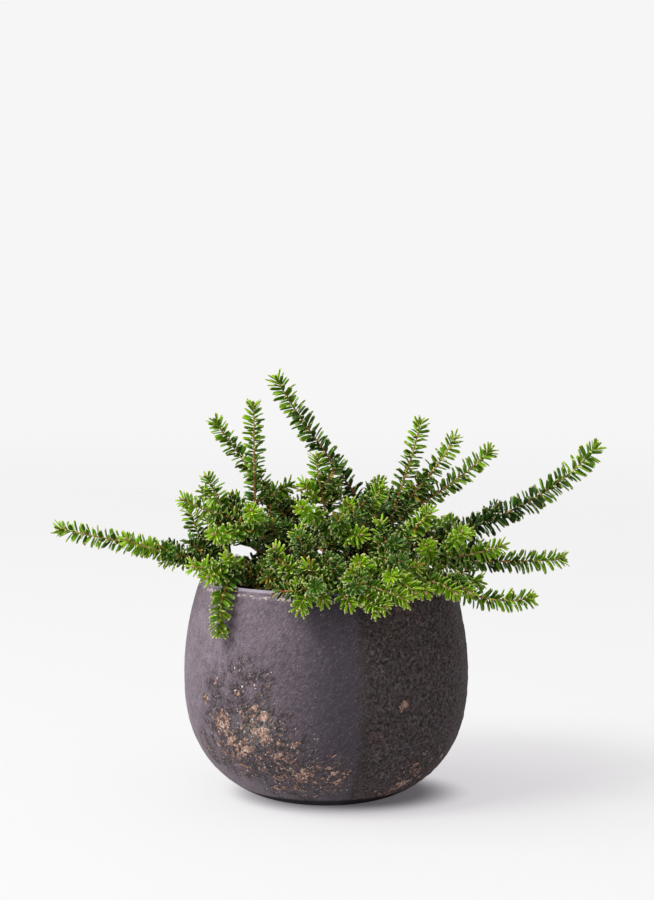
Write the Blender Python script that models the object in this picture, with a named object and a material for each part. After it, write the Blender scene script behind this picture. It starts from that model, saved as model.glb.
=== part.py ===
# Potted grevillea: a low, spreading woolly grevillea in a round-bellied dark clay pot.
# Metres, +Z up. The origin is on the pot's axis, in the flat underside it stands on.
# Headings turn from +X towards +Y, climbs are up from level, both in degrees.

import math

import bmesh
import bpy
import numpy as np

GAP = 0.0003

# Pot: a round belly that draws in to a rolled lip above and a small flat foot below.
POT_HEIGHT = 0.178
FOOT_RADIUS = 0.044
BELLY_RADIUS = 0.115
BELLY_HEIGHT = 0.100
RIM_RADIUS = 0.101
POT_WALL = 0.007
POT_FLOOR = 0.010
BELLY_SWELL = 2.5
BELLY_TUCK = 0.606
POT_SIDES = 40
BELLY_RINGS = 10
RING_CROWDING = 1.5
LIP_RINGS = 4
LOWEST_INNER_RING = 0.016

# Potting mix: fills the pot to a little under the rim.
MIX_TOP = 0.156
MIX_INSET = 0.0005

# Main stem: short and flared, cut level where it stands on the mix.
STEM_PLACE = (0.004, 0.0)
STEM_TOP = 0.183
STEM_FLARE_RADIUS = 0.0105
STEM_RADIUS = 0.0062
STEM_TIP_RADIUS = 0.0050
STEM_SIDES = 10
STEM_RINGS = 5
STEM_RING_CROWDING = 1.4
FLARE_SHARE = 1 / 3

BOUGH_ROOT_RADIUS = 0.0022
BOUGH_TIP_RADIUS = 0.0014
BOUGH_SIDES = 5
BOUGH_STEP = 0.017

TWIG_ROOT_RADIUS = 0.0013
TWIG_TIP_RADIUS = 0.0008
TWIG_SIDES = 3
TWIG_STEP = 0.014

# Leaves: narrow and blunt, in a spiral, closing up round the growing tip.
LEAF_LENGTH = 0.0135
LEAF_TIP_LENGTH = 0.0100
LEAF_WIDTH = 0.0050
LEAF_THICKNESS = 0.0010
LEAF_SHOULDER = 0.42
LEAF_SPACING = 0.0064
LEAF_TURN = 137.5
LEAF_ANGLE = 56
LEAF_TIP_ANGLE = 24
TIP_ZONE = 0.020
BARE_START = 0.005
LEAF_CLEARANCE = 0.0044
LEAF_FOOT_SHARE = 0.15
SHOOT_PHASE = 40
TIP_LEAF_SINK = 0.003
TIP_LEAF_EXTRA = 0.002
TANGENT_REACH = 0.02

# A direction that no limb runs along, from which sections and faces are turned.
OFF_UPRIGHT = (0.3, 0.2, 1.0)

# Degrees by which every shoot turns up at its tip.
TIP_UPTURN = 9
UPTURN_POWER = 4

# Boughs leave the main stem at this height of it:
# heading, climb, length, turn of the heading, lift of the climb, share of the stem's height
BOUGHS = {
    "low_left": (190, 20, 0.074, 0, -14, 0.30),
    "front_left": (213, 21, 0.078, 0, -18, 0.52),
    "rise_left": (202, 32, 0.060, -36, 16, 0.80),
    "back_left": (168, 20, 0.074, 6, 14, 0.55),
    "tall_left": (177, 32, 0.073, 5, 18, 0.93),
    "tall_back": (138, 42, 0.044, 10, 8, 0.86),
    "crown": (14, 54, 0.048, -8, 4, 0.98),
    "rise_right": (-10, 42, 0.054, 8, 6, 0.80),
    "back_right": (44, 40, 0.046, 0, 6, 0.70),
    "centre": (270, 70, 0.032, 0, 12, 0.94),
    "front": (262, 16, 0.066, 4, -16, 0.64),
    "front_right": (301, 20, 0.062, 0, -14, 0.54),
    "right_front": (318, 26, 0.060, -8, -16, 0.30),
    "right": (354, 22, 0.072, 0, -8, 0.43),
    "far_right": (6, 25, 0.080, 0, -4, 0.62),
    "inner_left": (232, 18, 0.040, 0, 0, 0.32),
    "back_first": (62, 22, 0.064, 0, -6, 0.46),
    "back_second": (92, 22, 0.066, 4, -8, 0.26),
    "back_third": (122, 22, 0.068, 6, -4, 0.52),
    "back_fourth": (150, 18, 0.078, 0, -8, 0.34),
    "back_fifth": (26, 22, 0.072, 0, -6, 0.24),
}

# Shoots of each mass. The first leaves the bough's tip, the others leave an earlier one:
# parent, share along it, heading, climb, length, turn of the heading, lift of the climb
MASSES = {
    "low_left": (
        (None, 0, 189, 23, 0.136, 0, -18),
        (0, 0.27, 212, 16, 0.054, 0, 0),
        (0, 0.13, 150, 60, 0.046, 0, 0),
    ),
    "front_left": (
        (None, 0, 240, 12, 0.062, 20, -104),
        (0, 0.12, 222, 16, 0.042, 0, -14),
    ),
    "rise_left": (
        (None, 0, 205, 18, 0.074, 0, 0),
        (0, 0.10, 236, -4, 0.054, 0, 2),
        (0, 0.08, 262, 20, 0.040, 0, 0),
    ),
    "back_left": (
        (None, 0, 176, 58, 0.052, 0, 0),
        (0, 0.20, 130, 30, 0.046, 0, 0),
    ),
    "tall_left": (
        (None, 0, 268, 80, 0.084, 0, 0),
        (0, 0.10, 20, 16, 0.026, 0, 8),
    ),
    "tall_back": (
        (None, 0, 176, 57, 0.108, 0, -10),
        (0, 0.17, 18, 14, 0.036, 0, 36),
        (0, 0.07, 104, 18, 0.056, 0, 0),
    ),
    "crown": (
        (None, 0, 168, 55, 0.136, 0, -4),
        (0, 0.06, 78, 16, 0.052, 0, 0),
    ),
    "rise_right": (
        (None, 0, 322, 68, 0.086, 8, 0),
        (0, 0.09, 340, 48, 0.080, 0, 2),
        (0, 0.07, 351, 30, 0.094, 0, 8),
    ),
    "back_right": (
        (None, 0, 60, 24, 0.050, 0, 0),
        (0, 0.16, 166, 44, 0.038, 0, 0),
    ),
    "centre": (
        (None, 0, 218, 74, 0.058, 0, 0),
        (0, 0.14, 335, 16, 0.050, 0, 28),
        (0, 0.18, 240, 18, 0.038, 0, 0),
        (0, 0.13, 297, -14, 0.048, 0, 18),
    ),
    "front": (
        (None, 0, 300, 12, 0.072, 26, -46),
        (0, 0.20, 160, 46, 0.046, 0, 10),
        (0, 0.12, 204, 0, 0.054, 0, 60),
        (0, 0.14, 232, 4, 0.030, 0, -10),
        (0, 0.26, 232, 20, 0.048, 0, -80),
    ),
    "front_right": (
        (None, 0, 330, 82, 0.042, 0, 0),
        (0, 0.20, 346, 44, 0.056, 0, 4),
        (0, 0.16, 250, 4, 0.034, 0, 10),
        (0, 0.17, 284, 10, 0.058, 30, -46),
    ),
    "right_front": (
        (None, 0, 332, -3, 0.072, 36, 0),
        (0, 0.60, 346, -26, 0.066, 0, 28),
    ),
    "right": (
        (None, 0, 358, 1, 0.108, 0, -3),
        (0, 0.07, 338, 13, 0.058, 0, 0),
        (0, 0.14, 290, 34, 0.040, 0, 0),
        (0, 0.06, 260, 22, 0.036, 0, 0),
    ),
    "far_right": (
        (None, 0, 7, 14, 0.152, 0, 24),
        (0, 0.07, 300, 10, 0.030, 0, 0),
        (0, 0.09, 80, 8, 0.036, 0, 0),
    ),
    "inner_left": (
        (None, 0, 196, 6, 0.034, 0, 0),
        (0, 0.25, 244, 10, 0.026, 0, 0),
    ),
    "back_first": (
        (None, 0, 55, 14, 0.084, 0, -10),
        (0, 0.10, 92, 28, 0.054, 0, 0),
        (0, 0.20, 20, 12, 0.056, 0, 0),
    ),
    "back_second": (
        (None, 0, 96, 14, 0.094, 0, -44),
        (0, 0.10, 66, 28, 0.050, 0, 0),
        (0, 0.16, 130, 20, 0.052, 0, 0),
    ),
    "back_third": (
        (None, 0, 124, 22, 0.078, 0, 0),
        (0, 0.12, 84, 32, 0.048, 0, 0),
        (0, 0.20, 156, 8, 0.056, 0, 0),
    ),
    "back_fourth": (
        (None, 0, 152, 2, 0.072, 0, -14),
        (0, 0.14, 112, 22, 0.048, 0, 0),
    ),
    "back_fifth": (
        (None, 0, 30, 6, 0.064, 0, -8),
        (0, 0.14, 66, 22, 0.052, 0, 0),
        (0, 0.30, 4, -4, 0.044, 0, 0),
    ),
}

COLOURS = {
    "pot": ((0.090, 0.078, 0.086), 0.78),
    "potting_mix": ((0.055, 0.036, 0.024), 0.95),
    "wood": ((0.240, 0.120, 0.070), 0.80),
    "foliage": ((0.090, 0.240, 0.060), 0.60),
}


def direction(heading, climb):
    a, b = math.radians(heading), math.radians(climb)
    return np.array((math.cos(b) * math.cos(a), math.cos(b) * math.sin(a), math.sin(b)))


def limb_line(start, heading, climb, length, turn, lift, step, upturn=0):
    # Points along a limb whose heading and climb change evenly, with an upturn kept for its end.
    pieces = max(2, round(length / step))
    points = [np.array(start, float)]
    for i in range(pieces):
        share = (i + 0.5) / pieces
        hook = upturn * share ** UPTURN_POWER
        way = direction(heading + turn * share, climb + lift * share + hook)
        points.append(points[-1] + way * length / pieces)
    return np.array(points)


def point_along(points, share):
    place = share * (len(points) - 1)
    i = min(int(place), len(points) - 2)
    return points[i] + (points[i + 1] - points[i]) * (place - i)


def pot_radius(z):
    # Outer radius of the pot at a height.
    if z < BELLY_HEIGHT:
        tuck = (1 - (1 - z / BELLY_HEIGHT) ** BELLY_SWELL) ** BELLY_TUCK
        return FOOT_RADIUS + (BELLY_RADIUS - FOOT_RADIUS) * tuck
    rise = (z - BELLY_HEIGHT) / (POT_HEIGHT - BELLY_HEIGHT)
    return BELLY_RADIUS - (BELLY_RADIUS - RIM_RADIUS) * rise ** 2


def clear_of_pot(points, margin):
    for x, y, z in points:
        r = math.hypot(x, y)
        if z > POT_HEIGHT + margin or r > pot_radius(min(max(z, 0.0), POT_HEIGHT)) + margin:
            continue
        if r > pot_radius(z) - POT_WALL - margin or z < MIX_TOP + margin:
            return False
    return True


def segment_distances(a0, a1, b0, b1):
    # Least distance from one segment to each of many, by trying the ends and the inner point.
    d1, d2, r = a1 - a0, b1 - b0, a0 - b0
    a = d1 @ d1
    e = np.einsum("ij,ij->i", d2, d2) + 1e-18
    f = np.einsum("ij,ij->i", d2, r)
    c = r @ d1
    b = d2 @ d1
    below = a * e - b * b
    s = np.clip(np.where(below > 1e-18, (b * f - c * e) / np.maximum(below, 1e-18), 0), 0, 1)
    t = np.clip((b * s + f) / e, 0, 1)
    s = np.clip((b * t - c) / a, 0, 1)
    gap = r + s[:, None] * d1 - t[:, None] * d2
    return np.linalg.norm(gap, axis=1)


def stem_radius(share):
    # The flare dies away within the lowest part of the stem.
    flare = max(0.0, 1 - share / FLARE_SHARE) ** 2
    plain = STEM_RADIUS + (STEM_TIP_RADIUS - STEM_RADIUS) * share
    return plain + (STEM_FLARE_RADIUS - STEM_RADIUS) * flare


def bough_line(name):
    heading, climb, length, turn, lift, share = BOUGHS[name]
    z = MIX_TOP + (STEM_TOP - MIX_TOP) * share
    out = stem_radius(share) + GAP + BOUGH_ROOT_RADIUS * math.sin(math.radians(abs(climb)))
    level = direction(heading, 0)
    start = np.array((STEM_PLACE[0], STEM_PLACE[1], z)) + level * out
    return limb_line(start, heading, climb, length, turn, lift, BOUGH_STEP)


def shoot_lines(name):
    # Each shoot's line, the first one starting just clear of its bough's tip.
    bough = bough_line(name)
    lines = []
    for parent, share, heading, climb, length, turn, lift in MASSES[name]:
        if parent is None:
            end = bough[-1] - bough[-2]
            end = end / np.linalg.norm(end)
            lean = math.sqrt(max(0.0, 1 - float(end @ direction(heading, climb)) ** 2))
            start = bough[-1] + end * (GAP + TWIG_ROOT_RADIUS * lean)
        else:
            start = point_along(lines[parent], share)
        lines.append(limb_line(start, heading, climb, length, turn, lift, TWIG_STEP, TIP_UPTURN))
    return lines


def leaf_rows(line, first_turn):
    # Root, tip and face direction of every leaf on a shoot, from its foot to its tip.
    steps = np.linalg.norm(np.diff(line, axis=0), axis=1)
    length = steps.sum()
    count = max(3, round((length - BARE_START) / LEAF_SPACING))
    rows = []
    for i in range(count):
        place = BARE_START + (length - BARE_START) * (i + 0.5) / count
        share = place / length
        root = point_along(line, share)
        after = point_along(line, min(1, share + TANGENT_REACH))
        ahead = after - point_along(line, max(0, share - TANGENT_REACH))
        ahead = ahead / np.linalg.norm(ahead)
        side = np.cross(ahead, (0, 0, 1))
        side = side / np.linalg.norm(side)
        up = np.cross(side, ahead)
        turn = math.radians(first_turn + LEAF_TURN * i)
        outward = side * math.cos(turn) + up * math.sin(turn)
        young = max(0.0, 1 - (length - place) / TIP_ZONE)
        angle = math.radians(LEAF_ANGLE + (LEAF_TIP_ANGLE - LEAF_ANGLE) * young)
        reach = LEAF_LENGTH + (LEAF_TIP_LENGTH - LEAF_LENGTH) * young
        way = ahead * math.cos(angle) + outward * math.sin(angle)
        rows.append((root, root + way * reach, np.cross(way, np.cross(ahead, outward))))
    end = line[-1] - line[-2]
    end = end / np.linalg.norm(end)
    root = line[-1] - end * TIP_LEAF_SINK
    face = np.cross(end, np.cross(end, OFF_UPRIGHT))
    rows.append((root, root + end * (LEAF_TIP_LENGTH + TIP_LEAF_EXTRA), face))
    return rows


def material(name):
    colour, roughness = COLOURS[name]
    made = bpy.data.materials.new(name)
    made.use_nodes = True
    shader = made.node_tree.nodes["Principled BSDF"]
    shader.inputs["Base Color"].default_value = (*colour, 1)
    shader.inputs["Roughness"].default_value = roughness
    made.diffuse_color = (*colour, 1)
    return made


def add_object(name, mesh, surface, collection=None):
    made = bpy.data.objects.new(name, mesh)
    made.data.materials.append(surface)
    (collection or bpy.context.scene.collection).objects.link(made)
    return made


def finished_mesh(name, shape):
    bmesh.ops.recalc_face_normals(shape, faces=shape.faces[:])
    mesh = bpy.data.meshes.new(name)
    shape.to_mesh(mesh)
    shape.free()
    return mesh


def turned_mesh(name, profile):
    # The outline, from axis to axis, spun once round Z.
    shape = bmesh.new()
    points = [shape.verts.new((r, 0, z)) for r, z in profile]
    edges = [shape.edges.new(pair) for pair in zip(points, points[1:])]
    bmesh.ops.spin(
        shape,
        geom=points + edges,
        cent=(0, 0, 0),
        axis=(0, 0, 1),
        angle=2 * math.pi,
        steps=POT_SIDES,
        use_merge=True,
    )
    bmesh.ops.remove_doubles(shape, verts=shape.verts[:], dist=1e-6)
    return finished_mesh(name, shape)


def tube_mesh(name, line, radii, sides):
    # A closed tube round a line, its rings carried along without twisting.
    shape = bmesh.new()
    ways = np.gradient(line, axis=0)
    side = np.cross(ways[0], OFF_UPRIGHT)
    rings = []
    for centre, way, radius in zip(line, ways, radii):
        way = way / np.linalg.norm(way)
        side = side - way * (side @ way)
        side = side / np.linalg.norm(side)
        other = np.cross(way, side)
        ring = []
        for k in range(sides):
            turn = 2 * math.pi * k / sides
            outward = side * math.cos(turn) + other * math.sin(turn)
            ring.append(shape.verts.new(centre + radius * outward))
        rings.append(ring)
    for low, high in zip(rings, rings[1:]):
        for k in range(sides):
            after = (k + 1) % sides
            shape.faces.new((low[k], low[after], high[after], high[k]))
    shape.faces.new(rings[0][::-1])
    shape.faces.new(rings[-1])
    return finished_mesh(name, shape)


def leaf_mesh(name, root, tip, face):
    # Eight faces: a point at each end and four corners round the shoulder.
    shape = bmesh.new()
    way = tip - root
    face = face / np.linalg.norm(face)
    across = np.cross(way, face)
    across = across / np.linalg.norm(across)
    middle = root + way * LEAF_SHOULDER
    corners = [
        middle + across * LEAF_WIDTH / 2,
        middle + face * LEAF_THICKNESS / 2,
        middle - across * LEAF_WIDTH / 2,
        middle - face * LEAF_THICKNESS / 2,
    ]
    bottom, top = shape.verts.new(root), shape.verts.new(tip)
    ring = [shape.verts.new(corner) for corner in corners]
    for k in range(4):
        after = (k + 1) % 4
        shape.faces.new((bottom, ring[after], ring[k]))
        shape.faces.new((top, ring[k], ring[after]))
    return finished_mesh(name, shape)


def make_pot(surface):
    outer = [(0, 0)]
    for i in range(BELLY_RINGS + 1):
        # Rings crowd towards the foot, where the belly turns fastest.
        z = (POT_HEIGHT - POT_WALL / 2) * (i / BELLY_RINGS) ** RING_CROWDING
        outer.append((pot_radius(z), z))
    lip = []
    lip_centre = RIM_RADIUS - POT_WALL / 2
    for i in range(1, LIP_RINGS):
        turn = math.pi * i / LIP_RINGS
        rise = POT_WALL / 2 * math.sin(turn)
        lip.append((lip_centre + POT_WALL / 2 * math.cos(turn), POT_HEIGHT - POT_WALL / 2 + rise))
    inner = [(r - POT_WALL, z) for r, z in reversed(outer[1:]) if z > LOWEST_INNER_RING]
    inner.append((FOOT_RADIUS, POT_FLOOR))
    inner.append((0, POT_FLOOR))
    pot = add_object("pot", turned_mesh("pot", outer + lip + inner), surface)
    pot.data.shade_smooth()
    pot.data.set_sharp_from_angle(angle=math.radians(40))
    return inner


def make_mix(surface, inner):
    # The pot's inner outline drawn in by the gap, up to the level of the mix.
    profile = [(0, POT_FLOOR + GAP)]
    profile.append((FOOT_RADIUS - GAP, POT_FLOOR + GAP))
    below = [(r, z) for r, z in reversed(inner[:-2]) if z < MIX_TOP][::2]
    for r, z in below:
        profile.append((r - MIX_INSET, z))
    above = next((r, z) for r, z in reversed(inner[:-2]) if z >= MIX_TOP)
    share = (MIX_TOP - below[-1][1]) / (above[1] - below[-1][1])
    brim = below[-1][0] + (above[0] - below[-1][0]) * share
    profile.append((brim - MIX_INSET, MIX_TOP))
    profile.append((0, MIX_TOP))
    add_object("potting_mix", turned_mesh("potting_mix", profile), surface)


def make_stem(surface):
    line, radii = [], []
    for i in range(STEM_RINGS + 1):
        share = (i / STEM_RINGS) ** STEM_RING_CROWDING
        z = MIX_TOP + GAP + (STEM_TOP - MIX_TOP - GAP) * share
        line.append((STEM_PLACE[0], STEM_PLACE[1], z))
        radii.append(stem_radius(share))
    stem = add_object("main_stem", tube_mesh("main_stem", np.array(line), radii, STEM_SIDES), surface)
    stem.data.shade_smooth()
    stem.data.set_sharp_from_angle(angle=math.radians(50))


def make_bough(name, surface):
    line = bough_line(name)
    radii = np.linspace(BOUGH_ROOT_RADIUS, BOUGH_TIP_RADIUS, len(line))
    bough = add_object("bough_" + name, tube_mesh("bough_" + name, line, radii, BOUGH_SIDES), surface)
    bough.data.shade_smooth()
    bough.data.set_sharp_from_angle(angle=math.radians(50))


def twig_radii(line):
    return np.linspace(TWIG_ROOT_RADIUS, TWIG_TIP_RADIUS, len(line))


def largest_body(mesh):
    # Keeps the one outer skin: loose scraps and the skins of sealed hollows go.
    shape = bmesh.new()
    shape.from_mesh(mesh)
    bmesh.ops.triangulate(shape, faces=shape.faces[:])
    left = set(shape.faces)
    bodies = []
    while left:
        seen = {left.pop()}
        front = list(seen)
        while front:
            face = front.pop()
            for edge in face.edges:
                for other in edge.link_faces:
                    if other in left:
                        left.remove(other)
                        seen.add(other)
                        front.append(other)
        bodies.append(seen)
    bodies.sort(key=len)
    spare = [face for body in bodies[:-1] for face in body]
    bmesh.ops.delete(shape, geom=spare, context="FACES")
    shape.to_mesh(mesh)
    shape.free()


def make_mass(name, lines, leaves, surface):
    # Twigs and leaves made one solid by a union over a collection.
    label = "foliage_" + name
    spare = bpy.data.collections.new(label)
    bpy.context.scene.collection.children.link(spare)
    mass = add_object(label, tube_mesh(label, lines[0], twig_radii(lines[0]), TWIG_SIDES), surface)
    for line in lines[1:]:
        add_object("twig", tube_mesh("twig", line, twig_radii(line), TWIG_SIDES), surface, spare)
    for root, tip, face in leaves:
        add_object("leaf", leaf_mesh("leaf", root, tip, face), surface, spare)
    union = mass.modifiers.new("union", "BOOLEAN")
    union.operation = "UNION"
    union.operand_type = "COLLECTION"
    union.collection = spare
    union.solver = "MANIFOLD"
    graph = bpy.context.evaluated_depsgraph_get()
    joined = bpy.data.meshes.new_from_object(mass.evaluated_get(graph))
    mass.modifiers.remove(union)
    largest_body(joined)
    mass.data = joined
    for helper in list(spare.objects):
        bpy.data.objects.remove(helper)
    bpy.data.collections.remove(spare)


def segments(line):
    return list(zip(line, line[1:]))


def grow_leaves(lines_of):
    # A leaf is left out where it would come too near the pot, a bough or another mass.
    limbs = [("", a, b) for name in BOUGHS for a, b in segments(bough_line(name))]
    for name, lines in lines_of.items():
        limbs += [(name, a, b) for line in lines for a, b in segments(line)]
    foot = np.array((*STEM_PLACE, MIX_TOP))
    limbs.append(("", foot, foot + (0, 0, STEM_TOP - MIX_TOP)))
    owners = [owner for owner, a, b in limbs]
    starts = [a for owner, a, b in limbs]
    ends = [b for owner, a, b in limbs]
    grown = {}
    for name, lines in lines_of.items():
        kept = []
        others = np.array([owner != name for owner in owners])
        near0, near1 = np.array(starts)[others], np.array(ends)[others]
        for number, line in enumerate(lines):
            for root, tip, face in leaf_rows(line, SHOOT_PHASE * number):
                middle = root + (tip - root) * LEAF_SHOULDER
                if not clear_of_pot((middle, tip), LEAF_WIDTH / 2):
                    continue
                inner = root + (tip - root) * LEAF_FOOT_SHARE
                if segment_distances(inner, tip, near0, near1).min() < LEAF_CLEARANCE:
                    continue
                kept.append((root, tip, face))
        for root, tip, face in kept:
            owners.append(name)
            starts.append(root)
            ends.append(tip)
        grown[name] = kept
    return grown


def main():
    for thing in list(bpy.data.objects):
        bpy.data.objects.remove(thing)
    surfaces = {name: material(name) for name in COLOURS}
    inner = make_pot(surfaces["pot"])
    make_mix(surfaces["potting_mix"], inner)
    make_stem(surfaces["wood"])
    lines_of = {name: shoot_lines(name) for name in MASSES}
    for name in BOUGHS:
        make_bough(name, surfaces["wood"])
    for name, leaves in grow_leaves(lines_of).items():
        make_mass(name, lines_of[name], leaves, surfaces["foliage"])


if __name__ == "__main__":
    main()
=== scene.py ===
import math

import bpy
import numpy as np
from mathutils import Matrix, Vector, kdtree


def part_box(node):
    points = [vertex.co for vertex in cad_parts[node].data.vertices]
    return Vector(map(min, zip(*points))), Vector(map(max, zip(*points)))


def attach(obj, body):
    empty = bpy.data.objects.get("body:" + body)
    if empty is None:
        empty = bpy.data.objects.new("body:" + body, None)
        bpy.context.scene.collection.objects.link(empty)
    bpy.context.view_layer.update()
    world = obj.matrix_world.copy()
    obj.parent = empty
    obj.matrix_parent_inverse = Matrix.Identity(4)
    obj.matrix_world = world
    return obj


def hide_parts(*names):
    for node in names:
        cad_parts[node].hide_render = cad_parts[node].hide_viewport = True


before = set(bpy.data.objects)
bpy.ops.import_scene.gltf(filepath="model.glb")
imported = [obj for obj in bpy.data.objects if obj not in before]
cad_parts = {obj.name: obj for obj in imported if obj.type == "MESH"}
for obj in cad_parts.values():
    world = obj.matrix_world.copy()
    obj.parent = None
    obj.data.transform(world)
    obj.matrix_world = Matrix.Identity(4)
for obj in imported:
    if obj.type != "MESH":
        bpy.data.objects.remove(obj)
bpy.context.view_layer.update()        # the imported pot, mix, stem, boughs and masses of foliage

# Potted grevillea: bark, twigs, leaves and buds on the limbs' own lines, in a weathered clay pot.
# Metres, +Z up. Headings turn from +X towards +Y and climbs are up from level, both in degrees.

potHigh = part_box("pot")[1]
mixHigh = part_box("potting_mix")[1]
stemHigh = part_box("main_stem")[1]
seed = 20
dice = np.random.default_rng(seed)


class Wire:
    # A socket, so that sums on the values of a surface can be written as sums.
    def __init__(self, tree, socket):
        self.tree = tree
        self.socket = socket

    def reckon(self, operation, first, second):
        made = self.tree.nodes.new("ShaderNodeMath")
        made.operation = operation
        for place, value in zip(made.inputs, (first, second)):
            connect(self.tree, place, value)
        return Wire(self.tree, made.outputs[0])

    def __add__(self, other):
        return self.reckon("ADD", self, other)

    def __radd__(self, other):
        return self.reckon("ADD", other, self)

    def __sub__(self, other):
        return self.reckon("SUBTRACT", self, other)

    def __rsub__(self, other):
        return self.reckon("SUBTRACT", other, self)

    def __mul__(self, other):
        return self.reckon("MULTIPLY", self, other)

    def __rmul__(self, other):
        return self.reckon("MULTIPLY", other, self)


def connect(tree, place, value):
    if isinstance(value, Wire):
        tree.links.new(value.socket, place)
    else:
        place.default_value = value


class NodeWork:
    # Nodes laid down in one tree.
    def __init__(self, tree):
        self.tree = tree

    def node(self, kind, settings, inputs, output=0):
        made = self.tree.nodes.new("ShaderNode" + kind)
        for key, value in settings.items():
            setattr(made, key, value)
        for key, value in inputs.items():
            connect(self.tree, made.inputs[key], value)
        return Wire(self.tree, made.outputs[output])

    def place(self):
        return self.node("TexCoord", {}, {}, "Object")

    def axes(self, place):
        return (self.node("SeparateXYZ", {}, {0: place}, axis) for axis in "XYZ")

    def noise(self, place, scale, detail=3.0, roughness=0.55):
        inputs = {"Vector": place, "Scale": scale, "Detail": detail, "Roughness": roughness}
        return self.node("TexNoise", {}, inputs)

    def rise(self, value, low, high):
        # 0 below low, 1 above high, smooth between.
        inputs = {"Value": value, "From Min": low, "From Max": high}
        return self.node("MapRange", {"interpolation_type": "SMOOTHSTEP"}, inputs)

    def greater(self, first, second):
        return self.node("Math", {"operation": "MAXIMUM"}, {0: first, 1: second})

    def size(self, value):
        # The value without its sign.
        return self.node("Math", {"operation": "ABSOLUTE"}, {0: value})

    def away(self, x, y):
        # Distance from the upright axis.
        return self.node("Math", {"operation": "SQRT"}, {0: x * x + y * y})

    def tint(self, share, first, second):
        # Mix holds a socket of each name for each kind of data, so colours go by number.
        inputs = {0: share, 6: colourOf(first), 7: colourOf(second)}
        return self.node("Mix", {"data_type": "RGBA"}, inputs, 2)

    def nearness(self, place, centre, reach):
        gap = self.node("VectorMath", {"operation": "DISTANCE"}, {0: place, 1: centre}, "Value")
        return 1 - self.rise(gap, reach * 0.25, reach)


class Finish(NodeWork):
    # A material built up node by node on one Principled shader.
    def __init__(self, name, colour, roughness):
        self.material = bpy.data.materials.new(name)
        self.material.use_nodes = True
        super().__init__(self.material.node_tree)
        self.shader = self.tree.nodes["Principled BSDF"]
        self.set("Base Color", (*colour, 1))
        self.set("Roughness", roughness)
        self.material.diffuse_color = (*colour, 1)

    def set(self, name, value):
        connect(self.tree, self.shader.inputs[name], value)

    def bump(self, height, strength, distance):
        inputs = {"Height": height, "Strength": strength, "Distance": distance}
        self.set("Normal", self.node("Bump", {}, inputs))


def colourOf(value):
    return value if isinstance(value, Wire) else (*value, 1)


def selectOnly(piece):
    bpy.ops.object.select_all(action="DESELECT")
    piece.select_set(True)
    bpy.context.view_layer.objects.active = piece


def turnedPiece(name, rings, sides, place=(0, 0)):
    # A disc drawn up through rings of (radius, height), its last face closing the piece.
    bpy.ops.object.select_all(action="DESELECT")
    radius, height = rings[0]
    bpy.ops.mesh.primitive_circle_add(
        vertices=sides, radius=radius, fill_type="NGON", location=(*place, height)
    )
    piece = bpy.context.object
    piece.name = name
    bpy.ops.object.transform_apply(location=True, rotation=True, scale=True)
    bpy.ops.object.mode_set(mode="EDIT")
    bpy.ops.mesh.select_all(action="SELECT")
    for (oldRadius, oldHeight), (radius, height) in zip(rings, rings[1:]):
        rise = {"value": (0, 0, height - oldHeight)}
        bpy.ops.mesh.extrude_region_move(TRANSFORM_OT_translate=rise)
        share = radius / oldRadius
        bpy.ops.transform.resize(value=(share, share, 1), center_override=(*place, height))
    bpy.ops.mesh.select_all(action="SELECT")
    bpy.ops.mesh.normals_make_consistent(inside=False)
    bpy.ops.object.mode_set(mode="OBJECT")
    return piece


def resizeWhere(piece, test, value):
    # Scales the points that pass the test about the piece's own axis.
    selectOnly(piece)
    bpy.ops.object.mode_set(mode="EDIT")
    bpy.ops.mesh.select_all(action="DESELECT")
    bpy.ops.object.mode_set(mode="OBJECT")
    for vertex in piece.data.vertices:
        vertex.select = test(vertex.co)
    bpy.ops.object.mode_set(mode="EDIT")
    bpy.ops.transform.resize(value=value, center_override=(0, 0, 0))
    bpy.ops.object.mode_set(mode="OBJECT")


def addModifier(piece, kind, settings):
    selectOnly(piece)
    modifier = piece.modifiers.new(kind.title(), kind)
    for key, value in settings.items():
        setattr(modifier, key, value)
    bpy.ops.object.modifier_apply(modifier=modifier.name)


def smooth(piece, levels):
    addModifier(piece, "SUBSURF", {"levels": levels, "render_levels": levels})


def weigh(piece, name, weightOf):
    # A vertex group from a rule on each point's place.
    group = piece.vertex_groups.new(name=name)
    for vertex in piece.data.vertices:
        weight = weightOf(vertex.co)
        if weight > 0:
            group.add([vertex.index], weight, "REPLACE")


def roughen(piece, name, kind, grain, height, group):
    texture = bpy.data.textures.new(name, kind)
    texture.noise_scale = grain
    settings = {"texture": texture, "strength": height, "mid_level": 0.5, "vertex_group": group}
    addModifier(piece, "DISPLACE", settings)


def patternOf(piece, slotOf):
    # Reads a modelled shape as points, faces and their slots, and takes the shape away.
    points = np.array([vertex.co for vertex in piece.data.vertices])
    faces = [list(face.vertices) for face in piece.data.polygons]
    slots = [slotOf(face) for face in piece.data.polygons]
    bpy.data.objects.remove(piece)
    return {"points": points, "faces": faces, "slots": slots}


def joinedMesh(name, points, faces, slots, finishes):
    mesh = bpy.data.meshes.new(name)
    mesh.from_pydata(points.tolist(), [], faces)
    for finish in finishes:
        mesh.materials.append(finish.material)
    mesh.polygons.foreach_set("material_index", slots)
    mesh.shade_smooth()
    piece = bpy.data.objects.new(name, mesh)
    bpy.context.scene.collection.objects.link(piece)
    return piece


def joinedCopies(name, copies, pattern, finishes):
    # One mesh of many copies of a pattern, given as a row of points for each copy.
    size = copies.shape[1]
    faces = [[corner + size * i for corner in face]
             for i in range(len(copies)) for face in pattern["faces"]]
    slots = pattern["slots"] * len(copies)
    return joinedMesh(name, copies.reshape(-1, 3), faces, slots, finishes)


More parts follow.
